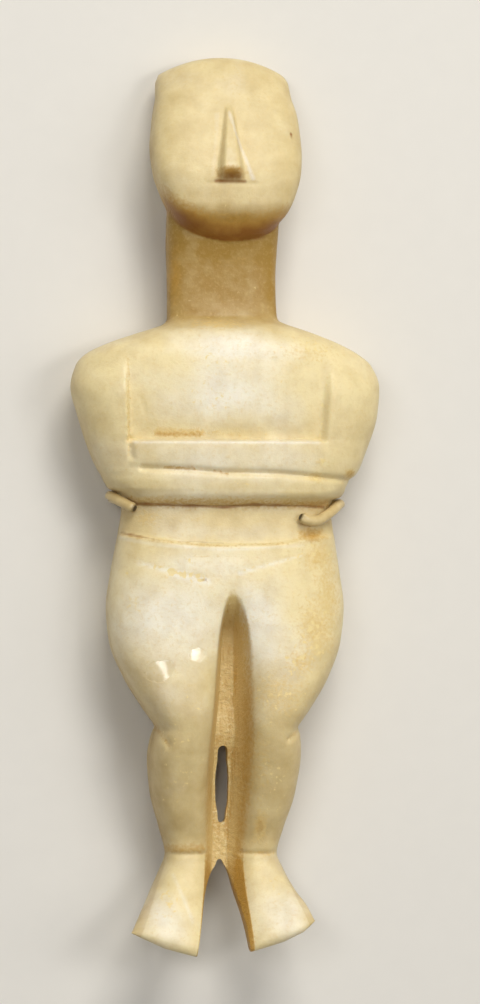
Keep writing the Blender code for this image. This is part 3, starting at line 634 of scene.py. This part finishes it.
def cutter(name, points):
    """A smooth outline through the points, extruded past the thickness of the legs, in modules."""
    data = bpy.data.curves.new(name, "CURVE")
    data.dimensions = "2D"
    data.fill_mode = "BOTH"
    data.resolution_u = 16
    data.extrude = CUTTER_REACH
    spline = data.splines.new("BEZIER")
    spline.bezier_points.add(len(points) - 1)
    for handle, (x, level) in zip(spline.bezier_points, points):
        handle.co = (x, level, 0)
        handle.handle_left_type = handle.handle_right_type = "AUTO"
    spline.use_cyclic_u = True
    drawn = new_object(name + "_outline", data)
    made = new_object(name, evaluated_mesh(drawn))
    bpy.data.objects.remove(drawn)
    weld = made.modifiers.new("weld", "WELD")
    weld.merge_threshold = WELD_DISTANCE
    return made


def evaluated_mesh(made):
    """A mesh of what the object's curve or modifiers make."""
    bpy.context.view_layer.update()
    return bpy.data.meshes.new_from_object(made.evaluated_get(bpy.context.evaluated_depsgraph_get()))


def vertex_values(mesh, name):
    """Places or normals of the mesh's points."""
    values = np.empty(len(mesh.vertices) * 3)
    mesh.vertices.foreach_get(name, values)
    return values.reshape(-1, 3)


def fit_box(points, lowest, highest):
    """The points stretched by a hair so that they just fill the CAD node's box."""
    lowest, highest = np.array(lowest), np.array(highest)
    low, high = points.min(0), points.max(0)
    return lowest + (points - low) * (highest - lowest) / (high - low)


def marks(x, level, lines, patches=()):
    """How strongly the lines and patches show at each point, at most 1."""
    drawn = np.zeros(np.shape(x))
    for strength, width, points in lines:
        drawn = np.maximum(drawn, -crease(x, level, points, strength, width))
    for strength, centre_x, centre_level, across, along in patches:
        spot = np.exp(-(((x - centre_x) / across) ** 2) - ((level - centre_level) / along) ** 2)
        drawn = np.maximum(drawn, strength * spot)
    return unit(drawn)


def surface_masks(points, normals):
    """Where the marble is stained, warmed, whiter or polished, and where shade and highlights are painted on
    it, for points in modules.
    """
    x, level, height = points.T
    front = ((normals[:, 2] > -0.2) | (height > curve_through(EDGE, level) + 0.5)).astype(float)
    between_lips = cleft_share(x, level, CLEFT_TOP - 4, CLEFT_TOP + 1)
    cleft, lips = cleft_at(level)
    legs = 1 - ramp(level, CLEFT_FRONT_FULL, CLEFT_TOP + 1.5)
    wall = np.exp(-((np.abs(np.abs(x - cleft) - 0.8 * lips) / (0.28 * lips)) ** 2)) * legs
    # Towards the cleft's deep upper end its floor and walls are painted lighter, painted light where shade
    # falls
    upper_cleft_painted_light = ramp(level, *UPPER_CLEFT_PAINTED_LIGHT)
    right_wall = wall * (x > cleft)
    inner_side = legs * (np.abs(x - cleft) < 1.02 * lips) * (1 - ramp(level, *FEET_APART))
    # The sides turn more beige too, painted shade where the surface turns away from the light
    warmth_and_shade = curve_through(WARMTH_AND_SHADE, level) + 0.35 * (1 - within_sides(x, level))
    ochre = marks(x, level, OCHRE_LINES, OCHRE_PATCHES) * front
    on_head = 1 - ramp(np.abs(share_across(x, *outline(HEAD_OUTLINE, np.maximum(level, CHIN)))), 0.95, 1.1)
    # Under the chin, deep ochre and brown paint the real stain and the shade that falls there
    under_chin = CHIN_SOIL_AND_SHADE + np.where(x < 0, *CHIN_SOIL_AND_SHADE_RISES) * x**2 - level
    on_chin = on_head * front * ramp(level, CHIN - 0.2, CHIN + 0.5)
    earth_and_shade = marks(x, level, EARTH_LINES, EARTH_AND_SHADE_PATCHES) * front
    earth_and_shade = np.maximum(earth_and_shade, on_chin * ramp(under_chin, *CHIN_EARTH_AND_SHADE))
    # The walls' deep ochre fades out towards the upper end, as painted light
    earth_and_shade = np.maximum(earth_and_shade, (0.4 * wall + 0.25 * right_wall) * (1 - upper_cleft_painted_light) + 0.45 * inner_side)
    brown = marks(x, level, BROWN_LINES, BROWN_PATCHES) * front
    # Whiter marble in patches, and painted highlights along lit edges
    clean_and_lit = 0.9 * marks(x, level, (), CLEAN_PATCHES) + 1.2 * marks(x, level, CLEAN_AND_LIT_LINES)
    return {
        "warmth_and_shade": unit(warmth_and_shade),
        # Lighter ochre on the upper right wall, as painted light
        "ochre": unit(np.maximum(ochre, 0.8 * right_wall * upper_cleft_painted_light)),
        "yellow": marks(x, level, YELLOW_LINES, YELLOW_PATCHES) * front,
        "earth_and_shade": unit(earth_and_shade),
        "brown": unit(np.maximum(brown, on_chin * ramp(under_chin, *CHIN_BROWN_AND_SHADE))),
        # The floor is paler towards the upper end, as painted light
        "web": unit(np.maximum(between_lips * (1 - 0.3 * upper_cleft_painted_light), 0.8 * inner_side)),
        "clean_and_lit": clean_and_lit * front,
        "polish": marks(x, level, (), POLISHED_PATCHES) * front,
    }


def store_masks(mesh, masks):
    for name, values in masks.items():
        attribute = mesh.attributes.new(name, "FLOAT", "POINT")
        attribute.data.foreach_set("value", np.ascontiguousarray(values, dtype=np.float32))


def linear(colour_hex):
    """Linear colour of an sRGB hex value."""
    parts = [int(colour_hex[i : i + 2], 16) / 255 for i in (1, 3, 5)]
    return *(part / 12.92 if part <= 0.04045 else ((part + 0.055) / 1.055) ** 2.4 for part in parts), 1.0


def set_inputs(node, inputs):
    """Links or values on the node's own sockets."""
    for name, value in inputs.items():
        if isinstance(value, bpy.types.NodeSocket):
            node.id_data.links.new(value, node.inputs[name])
        else:
            node.inputs[name].default_value = value


def add_node(tree, kind, inputs, output=0, **settings):
    """Adds a node with its settings and what goes into it, and gives one of its outputs."""
    node = tree.nodes.new("ShaderNode" + kind)
    for name, value in settings.items():
        setattr(node, name, value)
    set_inputs(node, inputs)
    return node.outputs[output]


def new_material(name):
    material = bpy.data.materials.new(name)
    material.use_nodes = True
    return material, material.node_tree, material.node_tree.nodes["Principled BSDF"]


def marble_material(look):
    """Fine white island marble, ground with emery and rubbed smooth by hand, then buried for ages.

    It gives the eye a soft white that light sinks into, under a cream to beige skin. Yellow soil sits in
    grains on it and fills the carving, brown crust lines the deepest cuts, and the old polish still shines in
    places. Painted shade darkens the skin on the neck, the calves and the waist and under the chin and the
    nose's tip, and painted highlights pale the lit edges of the carving.
    """
    material, tree, shader = new_material("island_marble")
    where = add_node(tree, "TexCoord", {}, "Object")
    mask = {name: add_node(tree, "Attribute", {}, "Fac", attribute_name=name) for name in MASKS}
    mask["everywhere"] = 0.0
    # Clouds of 17 mm and drifts of 5 mm in the skin, and flecks of soil over 1 mm. Soil grains are real at
    # half a millimetre and crystals at a third of one, under two pixels in the photograph, so both are drawn
    # coarser
    pattern = {
        name: add_node(
            tree, "TexNoise", {"Vector": where, "Scale": 1 / size, "Detail": 3.0, "Roughness": rough}
        )
        for name, size, rough in (
            ("cloud", 0.017, 0.5),
            ("drift", 0.0052, 0.55),
            ("grain", look.grain_size, 0.6),
            ("crystal", look.crystal_size, 0.5),
            ("fleck", look.fleck_size, 0.4),
        )
    }
    # The chisel left streaks along the cleft, a millimetre apart
    along = add_node(tree, "Mapping", {"Vector": where, "Scale": (1, 0.12, 1)})
    pattern["streak"] = add_node(tree, "TexNoise", {"Vector": along, "Scale": 1 / 0.0012, "Detail": 2.0})
    # Layers from the stone outwards: mask, the pattern that breaks it and by how much, where the layer starts
    # and is full, and its strength
    colour = look.cream
    for mask_name, pattern_name, breaking, start, full, strength, layer_colour in (
        # The white layers also paint the highlights along lit edges
        ("clean_and_lit", "cloud", 1.6, 0.1, 0.9, 1.0, look.white),
        ("everywhere", "grain", 1.6, 0.1, 0.5, 0.35, look.grain),
        ("everywhere", "crystal", 1.6, 0.05, 0.6, 0.22, look.ochre),
        # The beige layer paints shade on the neck, the calves, the waist and the sides, besides the skin's
        # real warm tone
        ("warmth_and_shade", "drift", 0.7, 0.0, 1.0, 1.0, look.beige),
        ("clean_and_lit", "drift", 0.6, 0.9, 1.3, 0.8, look.white),
        ("web", "grain", 0.5, 0.0, 0.45, 1.0, look.web),
        ("web", "streak", 3.0, 0.9, 1.4, 0.55, look.earth_and_shade),
        ("web", "grain", 3.0, 1.0, 1.5, 0.6, look.cream),
        ("ochre", "grain", 1.0, 0.25, 0.85, 0.95, look.ochre),
        ("ochre", "drift", 3.0, 0.7, 1.2, 0.5, look.grain),
        ("yellow", "fleck", 3.0, 0.7, 1.05, 0.9, look.grain),
        # The deep ochre and brown layers also paint shade under the chin, under the nose's tip and under the
        # right hook
        ("earth_and_shade", "grain", 0.9, 0.25, 0.9, 0.95, look.earth_and_shade),
        ("brown", "drift", 1.0, 0.25, 0.95, 0.95, look.brown),
    ):
        broken = {0: pattern[pattern_name], 1: breaking, 2: mask[mask_name]}
        broken = add_node(tree, "Math", broken, operation="MULTIPLY_ADD")
        start, full = start + breaking / 2, full + breaking / 2
        reach = {"Value": broken, "From Min": start, "From Max": full, "To Max": strength}
        inputs = {0: add_node(tree, "MapRange", reach), 6: colour, 7: layer_colour}
        colour = add_node(tree, "Mix", inputs, 2, data_type="RGBA")
    # Weathered marble is matt, soil is chalky, and the old polish is glossy where it is left
    rough = add_node(tree, "Math", {0: pattern["crystal"], 1: 0.2, 2: 0.4}, operation="MULTIPLY_ADD")
    rough = add_node(tree, "Math", {0: mask["ochre"], 1: 0.2, 2: rough}, operation="MULTIPLY_ADD")
    shine = add_node(tree, "Math", {0: pattern["drift"], 1: mask["polish"]}, operation="ADD")
    shine = add_node(tree, "MapRange", {"Value": shine, "From Min": 1.05, "From Max": 1.15})
    rough = add_node(tree, "Mix", {0: shine, 2: rough, 3: look.polish})
    # Crystals stand out like sugar where soil sits and between the legs, and the polish wears them flat
    grains = {0: pattern["crystal"], 1: 0.5, 2: pattern["grain"]}
    soft = add_node(tree, "Math", grains, operation="MULTIPLY_ADD")
    height = add_node(tree, "Math", {0: mask["ochre"], 1: 0.8, 2: 0.35}, operation="MULTIPLY_ADD")
    height = add_node(tree, "Math", {0: mask["web"], 1: 1.8, 2: height}, operation="MULTIPLY_ADD")
    height = add_node(tree, "Mix", {0: shine, 2: height, 3: 0.04})
    height = add_node(tree, "Math", {0: soft, 1: height}, operation="MULTIPLY")
    normal = add_node(tree, "Bump", {"Strength": 0.5, "Distance": 0.0004, "Height": height})
    set_inputs(shader, {"Base Color": colour, "Roughness": rough, "IOR": 1.6, "Normal": normal})
    # Light sinks in and comes back warmer
    glow = {"Weight": 0.3, "Radius": (1.0, 0.8, 0.55), "Scale": look.glow_depth}
    set_inputs(shader, {"Subsurface " + name: value for name, value in glow.items()})
    return material


def sleeve_material(look):
    """Soft vinyl tubing, extruded, slit along its length and pushed over steel wire.

    It gives the eye a satin, slightly waxy skin, yellowed with age and dulled in patches by dust and
    handling.
    """
    material, tree, shader = new_material("wire_sleeve")
    where = add_node(tree, "TexCoord", {}, "Object")
    slit = add_node(tree, "Attribute", {}, "Fac", attribute_name="slit")
    # Dust and rubbing lie in patches of 3 mm
    dusty = add_node(tree, "TexNoise", {"Vector": where, "Scale": 1 / 0.003, "Detail": 3.0})
    colour = add_node(tree, "Mix", {0: dusty, 6: look.sleeve, 7: look.sleeve_worn}, 2, data_type="RGBA")
    # The slit's gap and the open end take painted shade
    colour = add_node(tree, "Mix", {0: slit, 6: colour, 7: look.slit}, 2, data_type="RGBA")
    rough = add_node(tree, "Math", {0: dusty, 1: 0.2, 2: 0.24}, operation="MULTIPLY_ADD")
    normal = add_node(tree, "Bump", {"Strength": 0.3, "Distance": 0.0002, "Height": dusty})
    set_inputs(shader, {"Base Color": colour, "Roughness": rough, "IOR": 1.53, "Normal": normal})
    return material


def floor_material(look):
    """Seamless background paper, rolled from pulp: an even, pale and matt ground with the faintest mottle."""
    material, tree, shader = new_material("background_paper")
    where = add_node(tree, "TexCoord", {}, "Object")
    # Real pulp clouds are 1 to 2 mm across and too fine to show here, so they are drawn at 6 mm
    pulp = add_node(tree, "TexNoise", {"Vector": where, "Scale": 1 / 0.006, "Detail": 2.0})
    darker = [0.97 * part for part in look.floor[:3]] + [1.0]
    colour = add_node(tree, "Mix", {0: pulp, 6: look.floor, 7: darker}, 2, data_type="RGBA")
    set_inputs(shader, {"Base Color": colour, "Roughness": 0.85, "IOR": 1.45})
    return material


def wire_route(look):
    """Points of the wire's middle line, each clear of the marble by the wire's radius and the clearance."""
    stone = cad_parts["marble_figure"].data
    tree = BVHTree.FromPolygons([v.co for v in stone.vertices], [p.vertices for p in stone.polygons])
    away = look.diameter / 2 + WIRE_CLEARANCE
    points = []
    left_hook = [(-180 - angle, level) for angle, level in LEFT_HOOK[::-1]]
    for angle, level in [*left_hook, BACK_OF_WAIST, *RIGHT_HOOK]:
        outward = Vector((math.cos(math.radians(angle)), 0, math.sin(math.radians(angle))))
        start = Vector((0, level * MODULE + CAD_BOX[0][1], WAIST_MIDDLE_HEIGHT * MODULE))
        reach = HEIGHT / 4
        while tree.find_nearest(start + outward * (reach - WIRE_STEP))[3] > away:
            reach -= WIRE_STEP
        points.append(start + outward * reach)
    return np.array(points)


def sleeve_rings(points, look):
    """Rings of the sleeve round its middle line, grooved by the slit, and how much painted shade each point
    takes in the slit and at the open end.
    """
    along = np.gradient(points, axis=0)
    along /= np.linalg.norm(along, axis=1)[:, None]
    outward = points - np.array([0, 1, 0]) * points - np.array([0, 0, WAIST_MIDDLE_HEIGHT * MODULE])
    outward -= (outward * along).sum(1)[:, None] * along
    outward /= np.linalg.norm(outward, axis=1)[:, None]
    side = np.cross(along, outward)
    turn = np.linspace(0, 2 * math.pi, SLEEVE_SIDES, endpoint=False)
    place = distances_along(points)
    from_end = np.minimum(place, place[-1] - place)
    radius = look.diameter / 2
    dome_end = rounded_step(from_end, *(share * radius for share in SLEEVE_END))
    slit = ramp(from_end, SLIT_START, SLIT_FULL)
    away = np.angle(np.exp(1j * (turn - SLIT_TURN)))
    groove = np.exp(-((away / SLIT_WIDTH) ** 2))[None, :] * slit[:, None]
    # The tip is painted dark, the painted shade of an open end
    open_end = np.exp(-((from_end / OPEN_END) ** 2))[:, None]
    reach = (radius * dome_end)[:, None] - look.slit_depth * groove
    direction = outward[:, None] * np.cos(turn)[None, :, None] + side[:, None] * np.sin(turn)[None, :, None]
    return points[:, None] + direction * reach[..., None], np.maximum(groove, open_end)


def colour_property(name, description, colour_hex):
    """A colour that the user may change."""
    return FloatVectorProperty(
        name=name, description=description, subtype="COLOR", size=4, default=linear(colour_hex)
    )


def length_property(name, description, default, least=0.0):
    """A length in metres that the user may change."""
    return FloatProperty(name=name, description=description, unit="LENGTH", default=default, min=least)


class FigurineMarbleLook(bpy.types.PropertyGroup):
    # Also paints the highlights along lit edges of the carving
    white: colour_property("White marble", "Marble where it is clean", "#F2EAD4")
    cream: colour_property("Cream skin", "The skin that age gave the marble", "#ECDAA6")
    # Darker than the skin alone, so that it also paints the shade on the neck, the calves and the waist
    beige: colour_property("Beige skin", "The skin where it has warmed most", "#A58030")
    grain: colour_property("Yellow grains", "Light grains of soil all over the skin", "#EBD596")
    ochre: colour_property("Ochre soil", "Yellow soil on the hip and in the carving", "#DCBC74")
    # Also paints the shade under the chin, under the nose's tip and under the right hook
    earth_and_shade: colour_property("Deep ochre", "Soil packed in the carved lines", "#BC8E38")
    # Also darkened to paint the shade under the chin and under the nose's tip
    brown: colour_property("Brown crust", "Crust in the deepest lines", "#8C5400")
    web: colour_property("Unpolished marble", "Rough stone between the legs", "#D8BC7C")
    grain_size: length_property("Grain size", "Size of the grains of soil", 0.0009, 0.0001)
    crystal_size: length_property("Crystal size", "Size of the marble's crystals", 0.0004, 0.0001)
    fleck_size: length_property("Fleck size", "Size of the yellow soil's flecks", 0.0012, 0.0001)
    polish: FloatProperty(
        name="Polish", description="Roughness of old polish", subtype="FACTOR", default=0.14, min=0, max=1
    )
    glow_depth: length_property("Glow depth", "How far light goes into the marble", 0.0016)


class FigurineWireLook(bpy.types.PropertyGroup):
    diameter: length_property("Sleeve diameter", "Thickness over the sleeve", 0.00275, 0.0005)
    slit_depth: length_property("Slit depth", "How deep the sleeve's slit goes", 0.0007)
    sleeve: colour_property("Sleeve", "Colour of the plastic", "#EAD39C")
    sleeve_worn: colour_property("Worn sleeve", "Plastic where it is dusty", "#B2965C")
    # Painted shade in the slit's gap and at the sleeve's open end
    slit: colour_property("Slit", "Inside of the slit", "#3A2C14")


class FigurineStageLook(bpy.types.PropertyGroup):
    floor: colour_property("Floor", "Colour of the paper", "#E6E2DA")
    floor_size: length_property("Floor size", "Side of the paper sheet", 6.0, 0.5)
    key_power: FloatProperty(
        name="Main light", description="Light from beyond the head", subtype="POWER", default=22.6, min=0
    )
    side_power: FloatProperty(
        name="Side light", description="Light from the right", subtype="POWER", default=2.8, min=0
    )
    window_power: FloatProperty(
        name="Small lights", description="Each light seen in the polish", subtype="POWER", default=1.8, min=0
    )
    fill: FloatProperty(name="Fill light", description="Strength of the light all round", default=0.2, min=0)


class FIGURINE_OT_marble_figure(bpy.types.Operator):
    """Carve the marble figure's fine surface in place of its plain solid"""

    bl_idname = "figurine.marble_figure"
    bl_label = "Marble figure"

    def execute(self, context):
        front, back = surface_grids()
        figure = new_object("figure_stone", stone_mesh("figure_stone", front, back))
        thinned = figure.vertex_groups.new(name="back")
        thinned.add(range(STATIONS * COLUMNS, len(figure.data.vertices)), 1, "REPLACE")
        all_triangles = 4 * (STATIONS - 1) * (COLUMNS - 1)
        thin = figure.modifiers.new("thin_back", "DECIMATE")
        thin.ratio = (all_triangles / 2 + BACK_TRIANGLES) / all_triangles
        thin.vertex_group = thinned.name
        for name, points in (("calf_hole", CALF_HOLE), ("foot_notch", FOOT_NOTCH)):
            cut = figure.modifiers.new(name, "BOOLEAN")
            cut.operation = "DIFFERENCE"
            cut.solver = "MANIFOLD"
            cut.object = cutter(name, points)
        mesh = evaluated_mesh(figure)
        figure.modifiers.clear()
        figure.vertex_groups.clear()
        figure.data = mesh
        for name in ("calf_hole", "foot_notch"):
            bpy.data.objects.remove(bpy.data.objects[name])
        points = vertex_values(mesh, "co")
        store_masks(mesh, surface_masks(points, vertex_values(mesh, "normal")))
        mesh.vertices.foreach_set("co", fit_box(points, *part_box("marble_figure")).ravel())
        mesh.update()
        mesh.shade_smooth()
        mesh.set_sharp_from_angle(angle=SHARP_EDGE)
        mesh.materials.clear()
        mesh.materials.append(marble_material(context.scene.figurine_marble))
        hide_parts("marble_figure")
        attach(figure, "root")
        return {"FINISHED"}


class FIGURINE_OT_support_wire(bpy.types.Operator):
    """Make the slit sleeve of the wire that passes behind the waist and hooks round to the front"""

    bl_idname = "figurine.support_wire"
    bl_label = "Sleeved wire"

    def execute(self, context):
        look = context.scene.figurine_wire
        rings, groove = sleeve_rings(evenly_spaced(wire_route(look), SLEEVE_RINGS), look)
        numbers = np.arange(SLEEVE_RINGS * SLEEVE_SIDES).reshape(SLEEVE_RINGS, SLEEVE_SIDES)
        next_side = np.roll(numbers, -1, axis=1)
        faces = np.stack([numbers[:-1], next_side[:-1], next_side[1:], numbers[1:]], -1)
        faces = [*faces.reshape(-1, 4).tolist(), numbers[0][::-1].tolist(), numbers[-1].tolist()]
        mesh = bpy.data.meshes.new("wire_sleeve")
        points = np.clip(rings.reshape(-1, 3), *(np.array(corner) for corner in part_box("support_wire")))
        mesh.from_pydata(points.tolist(), [], faces)
        store_masks(mesh, {"slit": groove.ravel()})
        mesh.shade_smooth()
        mesh.materials.append(sleeve_material(look))
        sleeve = new_object("wire_sleeve", mesh)
        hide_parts("support_wire")
        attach(sleeve, "root")
        return {"FINISHED"}


def soft_light(name, place, size, power, colour=(1, 1, 1)):
    """A rectangular light that shines on the figure's middle."""
    data = bpy.data.lights.new(name, "AREA")
    data.shape = "RECTANGLE"
    data.size, data.size_y = size
    data.energy = power
    data.color = colour
    made = new_object(name, data)
    made.location = place
    made.rotation_euler = (Vector((0, 0, HEIGHT / 20)) - Vector(place)).to_track_quat("-Z", "Y").to_euler()


class FIGURINE_OT_stage(bpy.types.Operator):
    """Lay the pale floor, and set up the lights and the camera"""

    bl_idname = "figurine.stage"
    bl_label = "Floor, lights and camera"

    def execute(self, context):
        look = context.scene.figurine_stage
        half = look.floor_size / 2
        mesh = bpy.data.meshes.new("floor")
        corners = [(-half, -half, 0), (half, -half, 0), (half, half, 0), (-half, half, 0)]
        mesh.from_pydata(corners, [], [(0, 1, 2, 3)])
        mesh.materials.append(floor_material(look))
        new_object("floor", mesh)
        # A broad light beyond the head, so that the carving throws its shadows towards the feet
        soft_light("main_light", (0.22, 1.35, 1.4), (0.9, 0.9), look.key_power, (1.0, 0.99, 0.96))
        soft_light("side_light", (1.2, 0.1, 1.3), (0.6, 0.8), look.side_power, (1.0, 0.98, 0.94))
        # Two small lights overhead, which the left thigh's polish mirrors
        soft_light("left_window", (-0.296, 0.137, 0.974), (0.16, 0.42), look.window_power)
        soft_light("right_window", (0.431, 0.125, 0.912), (0.16, 0.34), look.window_power)
        world = bpy.data.worlds.new("studio")
        world.use_nodes = True
        even_light = {"Color": (1.0, 0.985, 0.96, 1), "Strength": look.fill}
        set_inputs(world.node_tree.nodes["Background"], even_light)
        context.scene.world = world
        context.scene.view_settings.view_transform = "Standard"
        make_camera(context)
        return {"FINISHED"}


def make_camera(context):
    """Looks straight down on the lying figure, from a hand's width to its left, as the photograph does."""
    data = bpy.data.cameras.new("camera")
    camera = new_object("camera", data)
    down = Vector((math.sin(CAMERA_LEAN), 0, -math.cos(CAMERA_LEAN)))
    right = Vector((math.cos(CAMERA_LEAN), 0, math.sin(CAMERA_LEAN)))
    basis = Matrix((right, (0, 1, 0), -down)).transposed()
    camera.matrix_world = Matrix.Translation(Vector(CAMERA_AIM) - down * CAMERA_DISTANCE) @ basis.to_4x4()
    data.sensor_width = 36
    data.lens = data.sensor_width * CAMERA_DISTANCE / (METRES_PER_PIXEL * FRAME_HEIGHT)
    data.clip_start, data.clip_end = 0.01, 20
    context.scene.camera = camera


class FIGURINE_PT_panel(bpy.types.Panel):
    bl_idname = "FIGURINE_PT_panel"
    bl_label = "Folded-arm figurine"
    bl_space_type = "VIEW_3D"
    bl_region_type = "UI"
    bl_category = "Figurine"

    def draw(self, context):
        scene = context.scene
        for operator, look in (
            (FIGURINE_OT_marble_figure, scene.figurine_marble),
            (FIGURINE_OT_support_wire, scene.figurine_wire),
            (FIGURINE_OT_stage, scene.figurine_stage),
        ):
            box = self.layout.box()
            box.operator(operator.bl_idname)
            for name in look.bl_rna.properties.keys():
                if name not in ("rna_type", "name"):
                    box.prop(look, name)


CLASSES = (
    FigurineMarbleLook, FigurineWireLook, FigurineStageLook,
    FIGURINE_OT_marble_figure, FIGURINE_OT_support_wire, FIGURINE_OT_stage, FIGURINE_PT_panel,
)


def register():
    for made in CLASSES:
        bpy.utils.register_class(made)
    bpy.types.Scene.figurine_marble = PointerProperty(type=FigurineMarbleLook)
    bpy.types.Scene.figurine_wire = PointerProperty(type=FigurineWireLook)
    bpy.types.Scene.figurine_stage = PointerProperty(type=FigurineStageLook)


def unregister():
    del bpy.types.Scene.figurine_stage
    del bpy.types.Scene.figurine_wire
    del bpy.types.Scene.figurine_marble
    for made in reversed(CLASSES):
        bpy.utils.unregister_class(made)


def main():
    register()
    bpy.ops.figurine.marble_figure()
    bpy.ops.figurine.support_wire()
    bpy.ops.figurine.stage()


if __name__ == "__main__":
    main()
